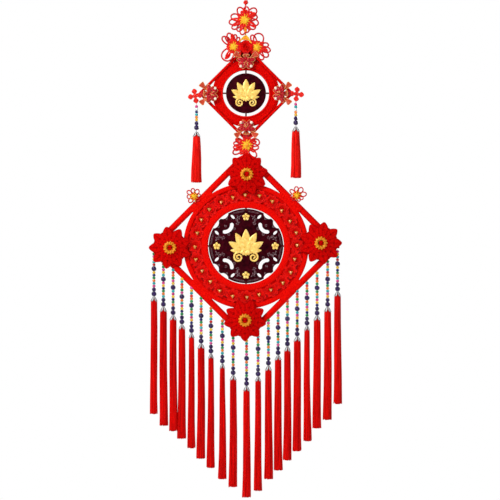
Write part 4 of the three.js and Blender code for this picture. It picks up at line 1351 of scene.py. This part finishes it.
# %% Clover knots
CLOVERS = {"left": (-121.7, -285.0, 10, -1), "right": (121.6, -280.5, -6, 1)}
for side, (x, z, turn, hand) in CLOVERS.items():
    shells = []
    middle = np.array([x, -7.3, z])
    for quarter in range(4):
        way, across = compass(np.radians(turn + 90 * quarter))
        lobe = middle + 11.2 * way
        for reach in (4.8, 1.7):
            t = circle(20)[:, None]
            out, aside = (np.sign(f(t)) * np.abs(f(t)) ** 1.5 for f in (np.cos, np.sin))
            ring = lobe + reach * (out * way + aside * across) - np.array([0, 0.5, 0]) * (reach < 2)
            shells.append(cord(ring, 1.9, 8, closed=True))
        for sign in (-1, 1):
            shift = sign * 1.8 * across
            sway = np.array([0, 0.7, 0]) * (1 if quarter % 2 == (sign > 0) else -1)
            line = through([lobe - 2 * way + shift, middle + shift + sway, middle - 2 * way + shift], 10)
            shells.append(cord(line, 1.7, 8))
    start, bend = (hand * 108, -6.8, -279), (hand * 113, -6.8, -280)
    tie = through([start, bend, (hand * 119, -6.9, z + 3), (x, -7, z)], 20)
    shells += [cord(tie + [0, 0, 1.3], 1.2), cord(tie - [0, 0, 1.3], 1.2)]
    make(f"clover_cord_{side}", shells, satin_cord, [f"clover_knot_{side}"])

# %% [markdown]
# Nineteen bead strings hang from the lower tubes and flowers, and two more from the clover
# knots. Every string ends in a silver cap over a tassel.

# %% Bead strings
STRINGS = [  # x, top of the tassel, its length, width at head and at foot, all in mm
    (-220.6, -775, 273, 15, 17), (-198, -800, 276, 16, 19), (-174.7, -820, 269, 16, 19),
    (-153.6, -842, 265, 15, 20), (-130.6, -863, 267, 12, 18), (-107.5, -888, 267, 16, 20),
    (-84, -912, 265, 12, 18), (-56.6, -936, 268, 11, 19), (-30.7, -964, 259, 15, 20),
    (1.4, -990, 258, 15, 20), (29, -967, 265, 13, 18), (53.8, -941, 263, 15, 20),
    (77, -916, 267, 15, 20), (99.4, -895, 264, 15, 19), (122.9, -871, 266, 16, 20),
    (146.4, -845, 268, 12, 18), (170.6, -821, 261, 16, 20), (195.8, -800, 262, 16, 20),
    (219.6, -763, 261, 15, 19),
]
SIDE_STRINGS = [(-118.4, -380, 113, 16, 24), (119.5, -368, 114, 17, 24)]
STRING_Y = -4.0
PITCH, SIDE_PITCH = 6.5, 6.4  # from one small bead to the next
LOWER = ["magenta", "teal", "orange", "green", "navy", "yellow"]
UPPER = ["red", "teal", "yellow", "magenta", "green", "orange"]
threaded = {colour: [] for colour in BEADS}  # bead colour: rows of x, y, z and radius
threads = []
for k, (x, top, _, _, _) in enumerate(STRINGS):
    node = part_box(f"tassel_{k + 1:02d}")
    start_z = node[1][2] * 1000 - 2
    threaded["purple"] += [(x, STRING_Y, top + up, r) for up, r in ((16, 6.0), (26.4, 4.9), (76.3, 6.0))]
    for step in range(len(LOWER)):
        threaded[LOWER[(step + k) % 6]].append((x, STRING_Y, top + 34.6 + PITCH * step, SMALL_BEAD))
    for step in range(int((start_z - top - 82.5) // PITCH)):
        threaded[UPPER[(step + k) % 6]].append((x, STRING_Y, top + 85.8 + PITCH * step, SMALL_BEAD))
    threads.append([(x, STRING_Y, start_z), (x, STRING_Y, top + 3)])
SIDE_COLOURS = [  # from the lowest bead up
    ["yellow", "orange", "teal", "navy", "clear", "magenta"],
    ["yellow", "orange", "clear", "teal", "magenta"],
]
for (x, top, _, _, _), small, start_z in zip(SIDE_STRINGS, SIDE_COLOURS, (-299.4, -295.2)):
    threaded["purple"] += [(x, STRING_Y, top + 19.5, 6.0), (x, STRING_Y, top + 29.8, 4.9)]
    for step, colour in enumerate(small):
        threaded[colour].append((x, STRING_Y, top + 38 + SIDE_PITCH * step, SMALL_BEAD))
    threads.append([(x, STRING_Y, start_z), (x, STRING_Y, top + 3)])
for colour, rows in threaded.items():
    rows = np.array(rows)
    make(f"beads_{colour}", [balls(rows[:, :3], rows[:, 3])], bead_finish[colour])
lines = np.array(threads)[:, :, None, :] + 0.5 * np.array([[1, 0, 0], [0, 1, 0], [-1, 0, 0], [0, -1, 0]])
make("bead_lines", [skin(lines)], satin_cord)

# %% [markdown]
# A cap is six silver-plated leaves edged with wire that is painted dark, a painted shade along
# each leaf's edge. They spread from a small ring and hold the tassel's head like a bell.

# %% Silver caps
EVERY = np.array(STRINGS + SIDE_STRINGS, float)
CAP_TOP, CAP_DROP = 11, 13  # the cap starts 11 mm above its tassel's top and is 13 mm tall


def caps(rows, loops=6):
    """Wire loops: the height is CAP_TOP - CAP_DROP sin(pi t)^0.8, and the radius follows.

    A loop goes down on one side of its leaf and up on the other."""
    x, top, _, head, _ = (column[:, None, None] for column in rows.T)
    t = np.linspace(0.02, 0.98, 13)[None, None, :]
    middle = (np.arange(loops) * 2 * np.pi / loops)[None, :, None]
    h = CAP_TOP - CAP_DROP * np.sin(np.pi * t) ** 0.8 + 0 * x
    radius = 0.9 + (head / 2 - 0.2) * ((CAP_TOP - h) / CAP_DROP) ** 0.75
    a = middle + 2 * np.pi / loops * 0.9 * (t - 0.5)
    path = np.stack([x + radius * np.cos(a), STRING_Y + radius * np.sin(a), top + h + 0 * a], -1)
    out = np.stack([np.cos(a), np.sin(a), 0 * a], -1) + 0 * path
    return cord_rings(path, 0.55, 5, guide=out)


def cap_leaves(rows, loops=6):
    """The leaf inside each loop, 0.35 mm thick, as tall as its wire: height CAP_TOP - CAP_DROP s.

    Its half angle is 0.43 of the loop's share of a turn, times 1 - 2 arcsin(s^1.25) / pi."""
    x, top, _, head, _ = (column[:, None, None, None] for column in rows.T)
    s = np.linspace(0.04, 0.96, 8)[None, None, :, None]
    middle = (np.arange(loops) * 2 * np.pi / loops)[None, :, None, None]
    hand, inner = np.array([-1.0, 1.0, 1.0, -1.0]), np.array([0.0, 0.0, 0.35, 0.35])
    a = middle + 0.43 * 2 * np.pi / loops * (1 - 2 / np.pi * np.arcsin(s**1.25)) * hand
    radius = 0.9 + (head / 2 - 0.2) * s**0.75 - inner
    h = CAP_TOP - CAP_DROP * s + 0 * a
    return np.stack([x + radius * np.cos(a), STRING_Y + radius * np.sin(a), top + h + 0 * x], -1)


collar = np.array([(1.9, 10.2), (1.9, 12.2), (0.7, 12.6), (0.7, 10.0)])  # radius and height
a = circle(12)[None, :, None]
x, top = EVERY[:, 0, None, None], EVERY[:, 1, None, None]
reach, up = collar.T
places = [x + reach * np.cos(a), STRING_Y + reach * np.sin(a) + 0 * x, top + up + 0 * a]
collars = np.stack(places, -1)
make("cap_wires", [skin(caps(EVERY))], dark_wire)
make("silver_caps", [skin(cap_leaves(EVERY)), skin(collars, closed=True)], silver)

# %% [markdown]
# A tassel's floss falls straight and spreads a little. Each tassel has eighty locks in three
# rings: the outer one closes the shape, and the inner ones keep light from passing through. A
# lock starts close to the others in the cap and sways by less than a millimetre. A whole tassel
# sways by one. It flares near its foot, where the outer locks are cut shorter than the inner ones.

# %% Tassels
rng = np.random.default_rng(11)
LOCK_RINGS = [(44, 0.88), (24, 0.58), (12, 0.24)]  # how many locks, and their share of the half width


def locks(rows):
    """Locks of all tassels: rings of shape (tassels * locks, 10, 4, 3) in mm.

    A lock's distance from the middle is its share of the tassel's half width. That width opens
    from 40% to all of the head over 7 mm, goes evenly to the foot's, and flares by 1.2 mm there.
    The tassels under 150 mm bulge by 2.2 mm half way down as well."""
    share = np.concatenate([np.full(n, part) for n, part in LOCK_RINGS])
    angle = np.concatenate([np.arange(n) * 2 * np.pi / n for n, _ in LOCK_RINGS])
    count = len(rows)
    jitter = lambda low, high: rng.uniform(low, high, (count, len(share), 1))
    x, top, length, head, foot = (column[:, None, None] for column in rows.T)
    down = np.array([0, 2, 4, 7, 20, 0.25, 0.5, 0.75, 0.9, 1.0])
    fall = np.where(np.arange(10) < 5, down, down * length)
    s = fall / length
    opened = 0.4 + 0.6 * np.sin(np.clip(fall / 7, 0, 1) * np.pi / 2) ** 1.3
    flare = 0.6 * np.clip((s - 0.8) / 0.2, 0, 1) ** 1.5 + 1.1 * np.sin(np.pi * s) * (length < 150)
    half = opened * 1.05 * (head * (1 - s) + foot * s) / 2 + flare
    lean = 1.1 * np.sin(5 * s + rng.uniform(0, 6.3, (count, 1, 1))) * s
    a = angle[None, :, None] + jitter(-0.07, 0.07)
    reach = share[None, :, None] * half
    phase = jitter(0, 6.3)
    cx = x + reach * np.cos(a) + jitter(0.1, 0.5) * np.sin(5 * s + phase) * s + lean
    cy = STRING_Y + reach * np.sin(a) + jitter(0.1, 0.4) * np.cos(4 * s + phase) * s
    cz = top + 2.5 - s * (length + 2.5 - jitter(0.1, 1.0) * (1.5 + 5 * share[None, :, None] ** 2))
    path = np.stack(np.broadcast_arrays(cx, cy, cz), -1).reshape(-1, 10, 3)
    size = (jitter(0.8, 1.2) * (0.35 + 0.65 * opened) * (0.8 + 0.25 * s)).reshape(-1, 10)
    return cord_rings(path, size, 4)


for number, chosen in enumerate(np.array_split(np.arange(len(STRINGS)), 3)):
    names = [f"tassel_{k + 1:02d}" for k in chosen]
    make(f"tassel_floss_{number + 1}", [skin(locks(EVERY[chosen]))], floss, names)
side_names = ["side_tassel_left", "side_tassel_right"]
make("side_tassel_floss", [skin(locks(EVERY[len(STRINGS) :]))], bright_floss, side_names)
